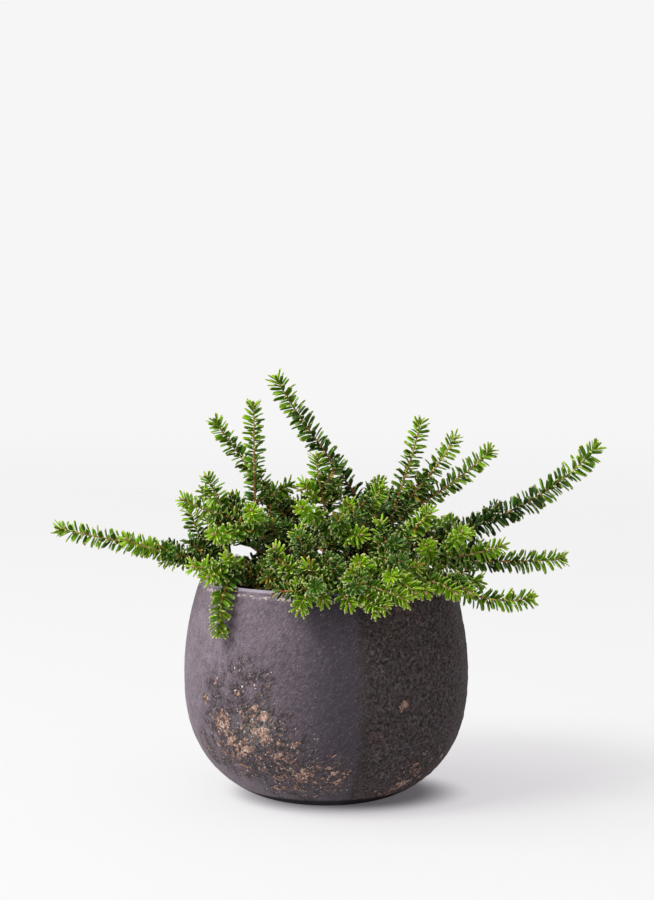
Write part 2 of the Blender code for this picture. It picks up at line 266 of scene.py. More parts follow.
def carriedFrames(line):
    # The way along a line and two ways across it, carried along without twisting.
    ways = np.gradient(line, axis=0)
    ways /= np.linalg.norm(ways, axis=1)[:, None]
    side = np.cross(ways[0], (0.3, 0.2, 1.0))
    sides = []
    for way in ways:
        side = side - way * (side @ way)
        side = side / np.linalg.norm(side)
        sides.append(side)
    sides = np.array(sides)
    return ways, sides, np.cross(ways, sides)


def tubeRings(line, radii, sides):
    ways, across, others = carriedFrames(line)
    turns = 2 * math.pi * np.arange(sides)[None, :, None] / sides
    out = across[:, None] * np.cos(turns) + others[:, None] * np.sin(turns)
    return line[:, None] + out * radii[..., None]


def joinedTubes(name, tubes, finishes):
    # Closed tubes in one mesh, each given as its rings of points and a slot for each ring.
    points, faces, slots = [], [], []
    for rings, ringSlots in tubes:
        count, sides = rings.shape[:2]
        base = sum(len(part) for part in points)
        points.append(rings.reshape(-1, 3))
        for i in range(count - 1):
            for k in range(sides):
                after = (k + 1) % sides
                low, high = base + sides * i, base + sides * (i + 1)
                faces.append((low + k, low + after, high + after, high + k))
                slots.append(ringSlots[i])
        faces.append(tuple(base + k for k in reversed(range(sides))))
        faces.append(tuple(base + sides * (count - 1) + k for k in range(sides)))
        slots += [ringSlots[0], ringSlots[-1]]
    return joinedMesh(name, np.concatenate(points), faces, slots, finishes)


def belong(piece, slot, *nodes):
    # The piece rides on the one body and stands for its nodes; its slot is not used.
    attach(piece, "root")
    if nodes:
        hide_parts(*nodes)


def direction(heading, climb):
    a, b = math.radians(heading), math.radians(climb)
    return np.array((math.cos(b) * math.cos(a), math.cos(b) * math.sin(a), math.sin(b)))


def limbLine(start, heading, climb, length, turn, lift, step, upturn=0):
    # Points along a limb whose heading and climb change evenly, with an upturn kept for its end.
    pieces = max(2, round(length / step))
    points = [np.array(start, float)]
    for i in range(pieces):
        share = (i + 0.5) / pieces
        hook = upturn * share ** twig["upturnPower"]
        way = direction(heading + turn * share, climb + lift * share + hook)
        points.append(points[-1] + way * length / pieces)
    return np.array(points)


def pointAlong(points, share):
    place = share * (len(points) - 1)
    i = min(int(place), len(points) - 2)
    return points[i] + (points[i + 1] - points[i]) * (place - i)


pot = {
    "height": potHigh.z,
    "foot": 0.044,
    "belly": 0.115,
    "bellyHeight": 0.100,
    "rim": 0.101,
    "wall": 0.007,
    "floor": 0.010,
    "swell": 2.5,
    "tuck": 0.606,
    "sides": 80,
    "outerRings": 26,
    "innerRings": 13,
    "crowding": 1.5,        # draws the rings towards the foot, where the belly turns fastest
    "lipRings": 5,
    "smoothing": 2,
    "footRound": 0.0012,
    "footRings": (0.30, 0.62),          # shares of the foot's radius, across the underside
    "floorRings": (1.0, 0.5, 0.12),     # and across the floor inside
    "floorRound": 0.006,
    "smoothFoot": 0.003,                # height under which the wall has no relief
    "reliefFade": 0.012,
    "bareClay": (-75, 35),              # headings between which the rough clay shows
    "scrapedPlace": (-118, 0.075),      # heading and height
    "scrapedReach": 0.024,
}

potRelief = {
    # kind of texture, grain size, height of the relief, which points it moves
    "throwing": ("CLOUDS", 0.034, 0.0006, "wall"),
    "lumps": ("CLOUDS", 0.0060, 0.0002, "wall"),
    "pits": ("STUCCI", 0.0022, 0.0002, "wall"),
    "coarse": ("STUCCI", 0.0046, 0.0008, "bare"),
    "flakes": ("STUCCI", 0.0060, 0.0013, "flaked"),
}

# Where the slip has flaked: heading round the pot, height, reach, strength
flakedPlaces = (
    # thinly strewn chips
    (-138, 0.104, 0.016, 0.62),
    (-124, 0.114, 0.016, 0.62),
    (-116, 0.112, 0.014, 0.58),
    (-127, 0.096, 0.015, 0.75),
    (-131, 0.072, 0.034, 0.82),
    (-119, 0.082, 0.023, 0.80),
    (-128, 0.055, 0.036, 0.86),
    (-116, 0.061, 0.034, 0.86),
    (-107, 0.045, 0.034, 0.88),
    (-102, 0.028, 0.030, 0.88),
    (-92, 0.034, 0.028, 0.80),
    (-112, 0.022, 0.020, 0.70),
    (-149, 0.049, 0.016, 0.75),
    (-52, 0.016, 0.020, 0.92),
    (-44, 0.030, 0.021, 0.92),
    (-37, 0.043, 0.018, 0.80),
    (62, 0.060, 0.038, 0.90),
    (74, 0.036, 0.030, 0.85),
    (150, 0.040, 0.036, 0.88),
    # plates
    (-135, 0.073, 0.009, 1.75),
    (-132, 0.064, 0.007, 1.55),
    (-126, 0.056, 0.010, 1.75),
    (-122, 0.084, 0.008, 1.60),
    (-115, 0.084, 0.006, 1.50),
    (-121, 0.079, 0.006, 1.40),
    (-109, 0.052, 0.006, 1.50),
    (-104, 0.024, 0.007, 1.50),
    (-116, 0.070, 0.008, 1.50),
    (-127, 0.098, 0.005, 1.60),
    (-101, 0.037, 0.010, 1.55),
    (-95, 0.043, 0.006, 1.60),
    (-115, 0.023, 0.006, 1.60),
    (-145, 0.090, 0.004, 2.20),
    (-59, 0.091, 0.005, 1.75),
    (-26, 0.039, 0.004, 2.20),
    (-47, 0.022, 0.007, 1.50),
    (66, 0.052, 0.010, 1.60),
)


def potRadius(z):
    # Outer radius of the pot at a height.
    if z < pot["bellyHeight"]:
        tuck = (1 - (1 - z / pot["bellyHeight"]) ** pot["swell"]) ** pot["tuck"]
        return pot["foot"] + (pot["belly"] - pot["foot"]) * tuck
    rise = (z - pot["bellyHeight"]) / (pot["height"] - pot["bellyHeight"])
    return pot["belly"] - (pot["belly"] - pot["rim"]) * rise ** 2


def clearOfPot(points, margin):
    # Whether the points are outside the wall, or inside it and above the mix.
    for x, y, z in points:
        r = math.hypot(x, y)
        nearest = min(max(z, 0.0), pot["height"])
        if z > pot["height"] + margin or r > potRadius(nearest) + margin:
            continue
        if r > potRadius(z) - pot["wall"] - margin or z < mix["top"] + margin:
            return False
    return True


def potRings():
    foot, wall, height = pot["foot"], pot["wall"], pot["height"]
    rings = [(foot * share, 0) for share in pot["footRings"]]
    rings += [(foot - pot["footRound"] * 2, 0), (foot - pot["footRound"], 0)]
    lipHeight = height - wall / 2
    for i in range(1, pot["outerRings"] + 1):
        z = lipHeight * (i / pot["outerRings"]) ** pot["crowding"]
        rings.append((potRadius(z), z))
    for i in range(1, pot["lipRings"]):
        turn = math.pi * i / pot["lipRings"]
        lip = wall / 2 * math.cos(turn)
        rings.append((pot["rim"] - wall / 2 + lip, lipHeight + wall / 2 * math.sin(turn)))
    for i in range(pot["innerRings"] + 1):
        z = lipHeight + (pot["floor"] + pot["floorRound"] - lipHeight) * (i / pot["innerRings"])
        rings.append((potRadius(z) - wall, z))
    return rings + [(foot * share, pot["floor"]) for share in pot["floorRings"]]


def onWall(heading, height):
    # The point of the outer wall at a heading and a height.
    level = direction(heading, 0) * potRadius(height)
    return level[0], level[1], height


def flakedWeight(place):
    weight = 0.0
    for heading, height, reach, strength in flakedPlaces:
        gap = math.dist(place, onWall(heading, height))
        weight = max(weight, strength * max(0.0, 1 - gap / reach))
    return weight


def wallWeight(place):
    # The relief fades out towards the foot.
    return min(1.0, max(0.0, (place.z - pot["smoothFoot"]) / pot["reliefFade"]))


def bareWeight(place):
    # The rough clay runs from the streak round the right-hand side.
    low, high = pot["bareClay"]
    turn = math.degrees(math.atan2(place.y, place.x))
    return float(low < turn < high) * wallWeight(place)


clayTones = {
    "plain": (0.090, 0.080, 0.090),
    "slip": (0.102, 0.079, 0.098),
    "paleSlipAndPaintedSheen": (0.190, 0.150, 0.184),
    "cloud": (0.058, 0.046, 0.057),
    "streak": (0.0380, 0.0315, 0.0410),
    "bare": (0.096, 0.078, 0.082),
    "ruddy": (0.106, 0.074, 0.072),
    "hollowPaintedShade": (0.0380, 0.0290, 0.0310),
    "rightEdge": (0.160, 0.130, 0.136),
    "ridge": (0.120, 0.096, 0.100),
    "pitPaintedShade": (0.030, 0.024, 0.029),
    "barePitPaintedShade": (0.006, 0.0045, 0.005),
    "crestPaintedHighlight": (0.300, 0.238, 0.268),
    "bareCrestPaintedHighlight": (0.240, 0.180, 0.172),
    "sand": (0.400, 0.280, 0.240),
    "worn": (0.030, 0.023, 0.025),
    "hatch": (0.125, 0.100, 0.103),
    "scraped": (0.250, 0.235, 0.205),
    "rustChip": (0.400, 0.205, 0.145),
    "tanChip": (0.820, 0.540, 0.420),
    "paintedGlint": (0.900, 0.800, 0.740),
    "creamGrain": (0.560, 0.440, 0.390),
    "rustGrain": (0.330, 0.190, 0.140),
    "inside": (0.052, 0.050, 0.070),
    "bead": (0.150, 0.125, 0.145),
    "beadSpeck": (0.560, 0.460, 0.430),
    "lip": (0.400, 0.365, 0.430),
    "paintedUnderShade": (0.003, 0.0025, 0.003),
}


# Where each zone of the clay comes in and goes out
clayZones = {
    # headings round the pot, in radians
    "bareStart": (-1.39, -1.27),
    "bareEnd": (0.35, 1.00),
    "behindStart": (1.75, 2.10),
    "behindEnd": (2.45, 2.90),
    "streakStart": (-1.88, -1.46),
    "paleAndSheenStart": (2.20, 3.00),
    "paleAndSheenEnd": (-2.75, -1.60),
    "rightEdge": (-0.62, -0.20),
    "sandStart": (2.60, 3.05),
    "sandEnd": (-2.85, -2.35),
    "firstRidge": -1.29,
    "secondRidge": -1.11,
    # heights
    "paintedUnderShade": (0.0092, 0.0125),
    "ridgeFoot": (0.065, 0.085),
    "ridgeTop": (0.125, 0.140),
    "inside": (0.140, 0.148),
    # heights from the rim
    "beadFoot": (-0.0072, -0.0062),
    "beadTop": (-0.0046, -0.0038),
    "lip": (-0.0026, -0.0012),
}


def charcoalClay():
    clay = Finish("charcoalClay", clayTones["plain"], 0.55)
    clay.set("Specular IOR Level", 0.14)
    place = clay.place()
    x, y, z = clay.axes(place)
    broad = clay.noise(place, 26, 3)
    middle = clay.noise(place, 150, 5, 0.62)
    fine = clay.noise(place, 900, 4, 0.70)
    coarse = clay.noise(place, 260, 4, 0.70)
    knobs = clay.noise(place, 420, 3, 0.60)
    grit = clay.noise(place, 1700, 3, 0.6)
    slanted = clay.node(
        "Mapping", {"vector_type": "TEXTURE"},
        {"Vector": place, "Rotation": (0, math.radians(50), 0), "Scale": (1, 1, 3.4)},
    )
    strokes = clay.noise(slanted, 760, 3, 0.62)
    around = clay.node("Math", {"operation": "ARCTAN2"}, {0: y, 1: x})
    edge = around + (middle - 0.5) * 0.26 + (broad - 0.5) * 0.14 + (knobs - 0.5) * 0.20

    # Inside of a line half way through the wall, above the mix.
    turnIn = (z - pot["bellyHeight"]) * (1 / (pot["height"] - pot["bellyHeight"]))
    halfWay = pot["belly"] - turnIn * turnIn * (pot["belly"] - pot["rim"]) - pot["wall"] / 2
    inside = clay.rise(halfWay - clay.away(x, y), -0.0003, 0.0005) * clay.rise(z, *clayZones["inside"])

    # The slip, paler to the left, partly its own tone and partly painted sheen where the light falls, a
    # smooth dark streak, and the bare rough clay, again at the back.
    started = clay.rise(edge, *clayZones["bareStart"])
    streak = clay.rise(around + (broad - 0.5) * 0.25, *clayZones["streakStart"]) * (1 - started)
    bare = started * (1 - clay.rise(edge, *clayZones["bareEnd"]))
    behind = clay.rise(edge, *clayZones["behindStart"]) * (1 - clay.rise(edge, *clayZones["behindEnd"]))
    rough = bare + behind
    # Paler to the left: partly the slip's own tone, partly painted sheen on the side the light falls on.
    pale = 1 - clay.rise(around, *clayZones["paleAndSheenEnd"]) + clay.rise(around, *clayZones["paleAndSheenStart"])
    slip = clay.tint(pale, clayTones["slip"], clayTones["paleSlipAndPaintedSheen"])
    cloud = clay.rise(broad * 0.45 + middle * 0.55, 0.40, 0.60)
    slip = clay.tint((1 - cloud) * 0.55, slip, clayTones["cloud"])
    colour = clay.tint(streak * 0.9, slip, clayTones["streak"])
    lumpy = clay.rise(coarse * 0.35 + knobs * 0.65, 0.36, 0.62)
    ruddy = clay.rise(broad, 0.44, 0.60)
    bareClay = clay.tint(ruddy, clayTones["bare"], clayTones["ruddy"])
    # Hollows between the lumps are darkened: painted shade.
    bareClay = clay.tint(lumpy, clayTones["hollowPaintedShade"], bareClay)
    lighter = clay.rise(around, *clayZones["rightEdge"]) * 0.35
    bareClay = clay.tint(lighter, bareClay, clayTones["rightEdge"])
    colour = clay.tint(rough, colour, bareClay)

    # Two upright ridges at the start of the bare clay.
    wander = around + (coarse - 0.5) * 0.10 + (broad - 0.5) * 0.08
    first = 1 - clay.rise(clay.size(wander - clayZones["firstRidge"]), 0.006, 0.040)
    second = 1 - clay.rise(clay.size(wander - clayZones["secondRidge"]), 0.004, 0.030)
    second = second * clay.rise(z, *clayZones["ridgeFoot"]) * (1 - clay.rise(z, *clayZones["ridgeTop"]))
    ridges = (first + second) * clay.rise(coarse, 0.36, 0.54)
    colour = clay.tint(ridges * 0.45, colour, clayTones["ridge"])

    # Grain: pits and slanting scratches darkened with painted shade, between crests lightened with
    # painted highlights, least on the streak.
    plain = 1 - streak * 0.55
    slipGrain = fine * 0.5 + strokes * 0.5
    bareGrain = knobs * 0.6 + fine * 0.4
    grain = slipGrain * (1 - rough * 0.8) + bareGrain * (rough * 0.8)
    pits = (1 - clay.rise(grain, 0.39, 0.48)) * (0.62 + 0.04 * rough) * plain
    colour = clay.tint(pits, colour, clay.tint(rough, clayTones["pitPaintedShade"], clayTones["barePitPaintedShade"]))
    paintedCrestHighlights = clay.rise(grain * 0.6 + grit * 0.4, 0.51, 0.62) * (0.70 - 0.10 * rough) * plain
    colour = clay.tint(paintedCrestHighlights, colour, clay.tint(rough, clayTones["crestPaintedHighlight"], clayTones["bareCrestPaintedHighlight"]))

    # Sandy grains down the left edge.
    sandy = 1 - clay.rise(around, *clayZones["sandEnd"]) + clay.rise(around, *clayZones["sandStart"])
    sand = clay.rise(clay.noise(place, 820, 3, 0.6), 0.57, 0.63) * sandy
    colour = clay.tint(sand * 0.4, colour, clayTones["sand"])

    # Where the slip has flaked: dark hatched clay, a scraped patch, tan plates, small chips, and small
    # cream spots that are painted glints.
    flaked = 0.0
    for heading, height, reach, strength in flakedPlaces:
        near = clay.nearness(place, onWall(heading, height), reach * 1.45)
        flaked = clay.greater(flaked, near * strength)
    patchy = flaked * (0.35 + 0.65 * clay.rise(broad * 0.3 + middle * 0.7, 0.38, 0.58))
    worn = clay.rise(clay.noise(place, 110, 6, 0.7) + patchy * 0.22, 0.55, 0.66)
    worn = worn * clay.rise(flaked, 0.02, 0.45)
    hatch = clay.rise(strokes, 0.42, 0.60)
    colour = clay.tint(worn * 0.80, colour, clay.tint(hatch, clayTones["worn"], clayTones["hatch"]))
    scraped = clay.nearness(place, onWall(*pot["scrapedPlace"]), pot["scrapedReach"]) * hatch
    colour = clay.tint(scraped * 0.75, colour, clayTones["scraped"])
    plates = clay.rise(clay.noise(place, 170, 7, 0.72) + patchy * 0.15, 0.680, 0.690)
    chips = clay.rise(clay.noise(slanted, 400, 5, 0.74) + patchy * 0.17, 0.690, 0.705)
    tan = clay.greater(plates * clay.rise(flaked, 0.25, 0.6) * 0.90, chips)
    tan = tan * clay.rise(flaked, 0.02, 0.20) * (0.45 + 0.55 * clay.rise(grit, 0.36, 0.50))
    tanTone = clay.tint(clay.rise(knobs, 0.46, 0.58), clayTones["rustChip"], clayTones["tanChip"])
    colour = clay.tint(tan, colour, tanTone)
    # Small cream spots: painted glints on the flaked clay.
    paintedGlints = clay.rise(clay.noise(place, 520, 2, 0.5) + patchy * 0.10, 0.750, 0.765)
    paintedGlints = paintedGlints * clay.rise(flaked, 0.1, 0.4)
    colour = clay.tint(paintedGlints, colour, clayTones["paintedGlint"])

    # Scattered grains all over, rust in the bare clay.
    cream = clay.rise(clay.noise(place, 440, 2, 0.5), 0.765, 0.785)
    colour = clay.tint(cream * 0.85, colour, clayTones["creamGrain"])
    rust = clay.rise(clay.noise(place, 560, 3, 0.65) + rough * 0.05, 0.695, 0.720)
    colour = clay.tint(rust * 0.7, colour, clayTones["rustGrain"])

    # Under the lip's pale edge, a painted highlight, a darker line, then a speckled bead. The inside is
    # blue black.
    colour = clay.tint(inside * 0.8, colour, clayTones["inside"])
    level = z + (fine - 0.5) * 0.0016 - pot["height"]
    slipped = 1 - rough * 0.65
    bead = clay.rise(level, *clayZones["beadFoot"]) * (1 - clay.rise(level, *clayZones["beadTop"]))
    bead = bead * slipped
    beadTone = clay.tint(clay.rise(knobs, 0.50, 0.60), clayTones["bead"], clayTones["beadSpeck"])
    colour = clay.tint(bead * 0.65, colour, beadTone)
    # The pale band along the lip is a painted highlight.
    lip = clay.rise(level, *clayZones["lip"]) * slipped
    colour = clay.tint(lip * (0.30 + 0.6 * middle), colour, clayTones["lip"])

    # The tucked-in foot is darkened: painted shade under the pot.
    foot = 1 - clay.rise(z + (fine - 0.5) * 0.002, *clayZones["paintedUnderShade"])
    colour = clay.tint(foot * 0.95, colour, clayTones["paintedUnderShade"])
    clay.set("Base Color", colour)
    clay.set("Roughness", 0.60 + 0.16 * rough - 0.08 * streak + 0.15 * tan + 0.3 * foot)
    height = grain * 0.8 + grit * 0.2 + middle * 0.2 + ridges * 0.8 - worn * 0.25 + tan * 0.35
    height = height + lumpy * rough * 0.6 + hatch * worn * 0.3
    clay.bump(height * (0.65 + 1.0 * rough + 0.9 * flaked) * plain, 1.0, 0.0018)
    return clay


def makePot():
    shell = turnedPiece("potShell", potRings(), pot["sides"])
    smooth(shell, pot["smoothing"])
    weigh(shell, "wall", wallWeight)
    weigh(shell, "bare", bareWeight)
    weigh(shell, "flaked", flakedWeight)
    for name, (kind, grain, height, group) in potRelief.items():
        roughen(shell, name, kind, grain, height, group)
    shell.data.shade_smooth()
    shell.data.materials.append(charcoalClay().material)
    belong(shell, "pot", "pot")
    print("pot", len(shell.data.polygons), "faces")


mix = {
    "top": mixHigh.z,
    "inset": 0.0005,
    "sides": 64,
    "baseRing": 0.5,            # share of the foot's radius
    "topRings": 15,
    "wallRings": 12,
    "cornerRound": 0.006,
    "brimDrop": 0.004,
    "edgeWidth": 0.0015,
    "edgeHeight": 0.001,
    "reliefDepth": 0.002,       # the relief moves what is this near the top
    "reliefInset": 0.004,       # and this far from the brim
    "smoothings": 2,
    "lumpSize": 0.010,
    "lumpHeight": 0.0030,
    "grainSize": 0.0035,
    "grainHeight": 0.0016,
}


mixTones = {
    "plain": (0.030, 0.022, 0.016),
    "dark": (0.012, 0.008, 0.006),
    "pale": (0.070, 0.045, 0.030),
    "fibre": (0.130, 0.085, 0.050),
}


def dampMix():
    soil = Finish("dampMix", mixTones["plain"], 0.9)
    place = soil.place()
    tone = soil.rise(soil.noise(place, 260, 6, 0.7), 0.40, 0.64)
    colour = soil.tint(tone, mixTones["dark"], mixTones["pale"])
    fibres = soil.rise(soil.noise(place, 900, 3), 0.60, 0.66)
    soil.set("Base Color", soil.tint(fibres * 0.6, colour, mixTones["fibre"]))
    soil.set("Roughness", 0.78 + 0.2 * tone)
    soil.bump(soil.noise(place, 700, 6, 0.7) + tone, 0.8, 0.0010)
    return soil


def makeMix():
    inner = pot["wall"] + mix["inset"]
    base = pot["floor"] + limb["gap"]
    top = mix["top"]
    rings = [(pot["foot"] * mix["baseRing"], base), (pot["foot"] - limb["gap"], base)]
    heights = np.linspace(base + mix["cornerRound"], top - mix["brimDrop"], mix["wallRings"])
    rings += [(potRadius(z) - inner, z) for z in heights]
    brim = potRadius(top) - inner
    flat = brim - mix["edgeWidth"]
    rings += [(brim, top - mix["edgeHeight"]), (flat, top)]
    for i in range(1, mix["topRings"] + 1):
        rings.append((flat * (1 - i / (mix["topRings"] + 1)), top))
    body = turnedPiece("mixBody", rings, mix["sides"])
    for level in range(mix["smoothings"]):
        smooth(body, 1)

    def surfaceWeight(place):
        high = place.z > top - mix["reliefDepth"]
        return float(high and place.xy.length < brim - mix["reliefInset"])

    weigh(body, "surface", surfaceWeight)
    roughen(body, "lumps", "CLOUDS", mix["lumpSize"], mix["lumpHeight"], "surface")
    roughen(body, "grains", "STUCCI", mix["grainSize"], mix["grainHeight"], "surface")
    body.data.shade_smooth()
    body.data.materials.append(dampMix().material)
    belong(body, "potting_mix", "potting_mix")
    print("mix", len(body.data.polygons), "faces")


crumbs = {
    "count": 1500,
    "smallest": 0.0010,
    "largest": 0.0042,
    "sizePower": 2.5,           # most crumbs are small
    "stretch": (0.7, 1.3),
    "uneven": 0.16,
    "shape": (1, 0.72, 0.5),
    "spread": 0.090,
    "stemClear": 0.011,
    "lift": 0.0006,
    "liftShare": 0.18,
    # share of the count, colour
    "barkCrumbs": (0.42, (0.085, 0.050, 0.030)),
    "darkCrumbs": (0.50, (0.022, 0.015, 0.011)),
    "paleCrumbs": (0.08, (0.230, 0.180, 0.130)),
}


def crumbPattern():
    # An uneven grain with a few flat sides.
    bpy.ops.object.select_all(action="DESELECT")
    bpy.ops.mesh.primitive_ico_sphere_add(subdivisions=1, radius=0.5)
    grain = bpy.context.object
    bpy.ops.object.mode_set(mode="EDIT")
    bpy.ops.mesh.select_all(action="SELECT")
    bpy.ops.transform.vertex_random(offset=crumbs["uneven"], seed=seed)
    bpy.ops.transform.resize(value=crumbs["shape"], center_override=(0, 0, 0))
    bpy.ops.object.mode_set(mode="OBJECT")
    return patternOf(grain, lambda face: 0)


def turnedAxes(count):
    # Chance turns, one set of three axes for each copy.
    axes, _ = np.linalg.qr(dice.normal(size=(count, 3, 3)))
    axes[:, :, 0] *= np.sign(np.linalg.det(axes))[:, None]
    return axes


def scatteredPlaces(count, spread):
    turns = dice.uniform(0, 2 * math.pi, count)
    reach = spread * np.sqrt(dice.uniform(0.0, 1.0, count))
    return np.stack((reach * np.cos(turns), reach * np.sin(turns)), axis=1)


def makeCrumbs():
    pattern = crumbPattern()
    smallest, largest = crumbs["smallest"], crumbs["largest"]
    for name in ("barkCrumbs", "darkCrumbs", "paleCrumbs"):
        share, colour = crumbs[name]
        count = round(crumbs["count"] * share)
        flat = scatteredPlaces(count, crumbs["spread"])
        flat = flat[np.linalg.norm(flat - stem["place"], axis=1) > crumbs["stemClear"]]
        count = len(flat)
        sizes = smallest + (largest - smallest) * dice.uniform(0, 1, count) ** crumbs["sizePower"]
        heights = mix["top"] + crumbs["lift"] + sizes * crumbs["liftShare"]
        centres = np.column_stack((flat, heights))
        measures = dice.uniform(*crumbs["stretch"], (count, 1, 3)) * sizes[:, None, None]
        copies = np.einsum("nij,npj->npi", turnedAxes(count), pattern["points"][None] * measures)
        piece = joinedCopies(name, copies + centres[:, None], pattern, [Finish(name, colour, 0.9)])
        belong(piece, "potting_mix", "potting_mix")
        print(name, count)


stem = {
    "place": (0.004, 0.0),
    "top": stemHigh.z,
    "flareRadius": 0.0105,
    "radius": 0.0062,
    "tipRadius": 0.0050,
    "flareShare": 1 / 3,
    "sides": 18,
    "rings": 14,
    "buried": 0.004,
    "smoothing": 2,
    "furrowSize": 0.0028,
    "furrowHeight": 0.0012,
    "knotSize": 0.0084,
    "knotHeight": 0.0018,
    "cut": ((0.70, 0.0012), (0.25, 0.0016)),    # rings of the cut top: share of its radius, rise
}


def stemRadius(share):
    # The flare dies away within the lowest part of the stem.
    flare = max(0.0, 1 - share / stem["flareShare"]) ** 2
    plain = stem["radius"] + (stem["tipRadius"] - stem["radius"]) * share
    return plain + (stem["flareRadius"] - stem["radius"]) * flare


barkTones = {
    "plain": (0.160, 0.090, 0.060),
    "young": (0.110, 0.030, 0.020),
    "youngPatch": (0.230, 0.095, 0.050),
    "old": (0.050, 0.032, 0.024),
    "oldPatch": (0.130, 0.090, 0.066),
    "furrow": (0.040, 0.022, 0.018),
}


def grevilleaBark():
    bark = Finish("grevilleaBark", barkTones["plain"], 0.8)
    place = bark.place()
    age = bark.node("Attribute", {"attribute_name": "age"}, {}, "Fac")
    blotch = bark.noise(place, 240, 5, 0.65)
    fine = bark.noise(place, 1400, 4, 0.6)
    young = bark.tint(bark.rise(blotch, 0.38, 0.62), barkTones["young"], barkTones["youngPatch"])
    old = bark.tint(bark.rise(blotch, 0.40, 0.60), barkTones["old"], barkTones["oldPatch"])
    colour = bark.tint(bark.rise(age + (blotch - 0.5) * 0.5, 0.35, 0.75), young, old)
    furrow = bark.rise(fine, 0.55, 0.68)
    bark.set("Base Color", bark.tint(furrow * 0.6, colour, barkTones["furrow"]))
    bark.set("Roughness", 0.72 + 0.2 * furrow)
    bark.bump(fine + blotch, 0.6, 0.0004)
    return bark


def setAge(piece, ages):
    # How old the bark is at each point, from 0 on a shoot to 1 on the stem.
    attribute = piece.data.attributes.new("age", "FLOAT", "POINT")
    attribute.data.foreach_set("value", ages)


def makeStem(bark):
    rings = []
    low, high = mix["top"] - stem["buried"], stem["top"]
    for i in range(stem["rings"] + 1):
        z = low + (high - low) * i / stem["rings"]
        share = max(0.0, (z - mix["top"]) / (high - mix["top"]))
        rings.append((stemRadius(share), z))
    rings += [(stem["tipRadius"] * share, high + rise) for share, rise in stem["cut"]]
    trunk = turnedPiece("stemBark", rings, stem["sides"], stem["place"])
    smooth(trunk, stem["smoothing"])
    weigh(trunk, "bark", lambda place: 1.0)
    roughen(trunk, "knots", "CLOUDS", stem["knotSize"], stem["knotHeight"], "bark")
    roughen(trunk, "furrows", "STUCCI", stem["furrowSize"], stem["furrowHeight"], "bark")
    trunk.data.shade_smooth()
    trunk.data.materials.append(bark.material)
    setAge(trunk, np.ones(len(trunk.data.vertices)))
    belong(trunk, "stems", "main_stem")
    print("stem", len(trunk.data.polygons), "faces")


# Boughs leave the main stem at a share of its height:
# heading, climb, length, turn of the heading, lift of the climb, share of the stem's height
boughs = {
    "low_left": (190, 20, 0.074, 0, -14, 0.30),
    "front_left": (213, 21, 0.078, 0, -18, 0.52),
    "rise_left": (202, 32, 0.060, -36, 16, 0.80),
    "back_left": (168, 20, 0.074, 6, 14, 0.55),
    "tall_left": (177, 32, 0.073, 5, 18, 0.93),
    "tall_back": (138, 42, 0.044, 10, 8, 0.86),
    "crown": (14, 54, 0.048, -8, 4, 0.98),
    "rise_right": (-10, 42, 0.054, 8, 6, 0.80),
    "back_right": (44, 40, 0.046, 0, 6, 0.70),
    "centre": (270, 70, 0.032, 0, 12, 0.94),
    "front": (262, 16, 0.066, 4, -16, 0.64),
    "front_right": (301, 20, 0.062, 0, -14, 0.54),
    "right_front": (318, 26, 0.060, -8, -16, 0.30),
    "right": (354, 22, 0.072, 0, -8, 0.43),
    "far_right": (6, 25, 0.080, 0, -4, 0.62),
    "inner_left": (232, 18, 0.040, 0, 0, 0.32),
    "back_first": (62, 22, 0.064, 0, -6, 0.46),
    "back_second": (92, 22, 0.066, 4, -8, 0.26),
    "back_third": (122, 22, 0.068, 6, -4, 0.52),
    "back_fourth": (150, 18, 0.078, 0, -8, 0.34),
    "back_fifth": (26, 22, 0.072, 0, -6, 0.24),
}

limb = {
    "gap": 0.0003,
    "step": 0.001,
    "rootRadius": 0.0022,
    "tipRadius": 0.0014,
    "sides": 12,
    "barkSwell": 1.12,          # at the root
    "furrows": 0.08,
    "furrowRun": 7,
    "sunk": 0.004,
    "sunkRings": (1.0, 0.66, 0.33),
    "rootAge": 0.95,
}


def boughLine(name):
    heading, climb, length, turn, lift, share = boughs[name]
    z = mix["top"] + (stem["top"] - mix["top"]) * share
    lean = limb["rootRadius"] * math.sin(math.radians(abs(climb)))
    out = stemRadius(share) + limb["gap"] + lean
    start = np.array((*stem["place"], z)) + direction(heading, 0) * out
    return limbLine(start, heading, climb, length, turn, lift, limb["step"])


def furrowedRadii(line, rootRadius, tipRadius):
    # Ridges that run along the limb, from chance heights smoothed along its length.
    chance = dice.normal(size=(len(line), limb["sides"]))
    run = np.ones(limb["furrowRun"]) / math.sqrt(limb["furrowRun"])
    ridges = np.stack([np.convolve(row, run, "same") for row in chance.T], axis=1)
    plain = np.linspace(rootRadius, tipRadius, len(line))[:, None]
    return plain * (1 + limb["furrows"] * np.tanh(ridges))


def makeBoughs(bark):
    tubes, ages = [], []
    for name in boughs:
        line = boughLine(name)
        # The limb starts inside the stem, so that bark meets bark.
        way = (line[1] - line[0]) / np.linalg.norm(line[1] - line[0])
        sunk = [line[0] - way * limb["sunk"] * share for share in limb["sunkRings"]]
        line = np.concatenate((sunk, line))
        radii = furrowedRadii(line, limb["rootRadius"] * limb["barkSwell"], limb["tipRadius"])
        tubes.append((tubeRings(line, radii, limb["sides"]), [0] * len(line)))
        ages.append(np.repeat(np.linspace(limb["rootAge"], 0.0, len(line)), limb["sides"]))
    piece = joinedTubes("boughBark", tubes, [bark])
    setAge(piece, np.concatenate(ages))
    belong(piece, "stems", *["bough_" + name for name in boughs])
    print("boughs", len(piece.data.polygons), "faces")


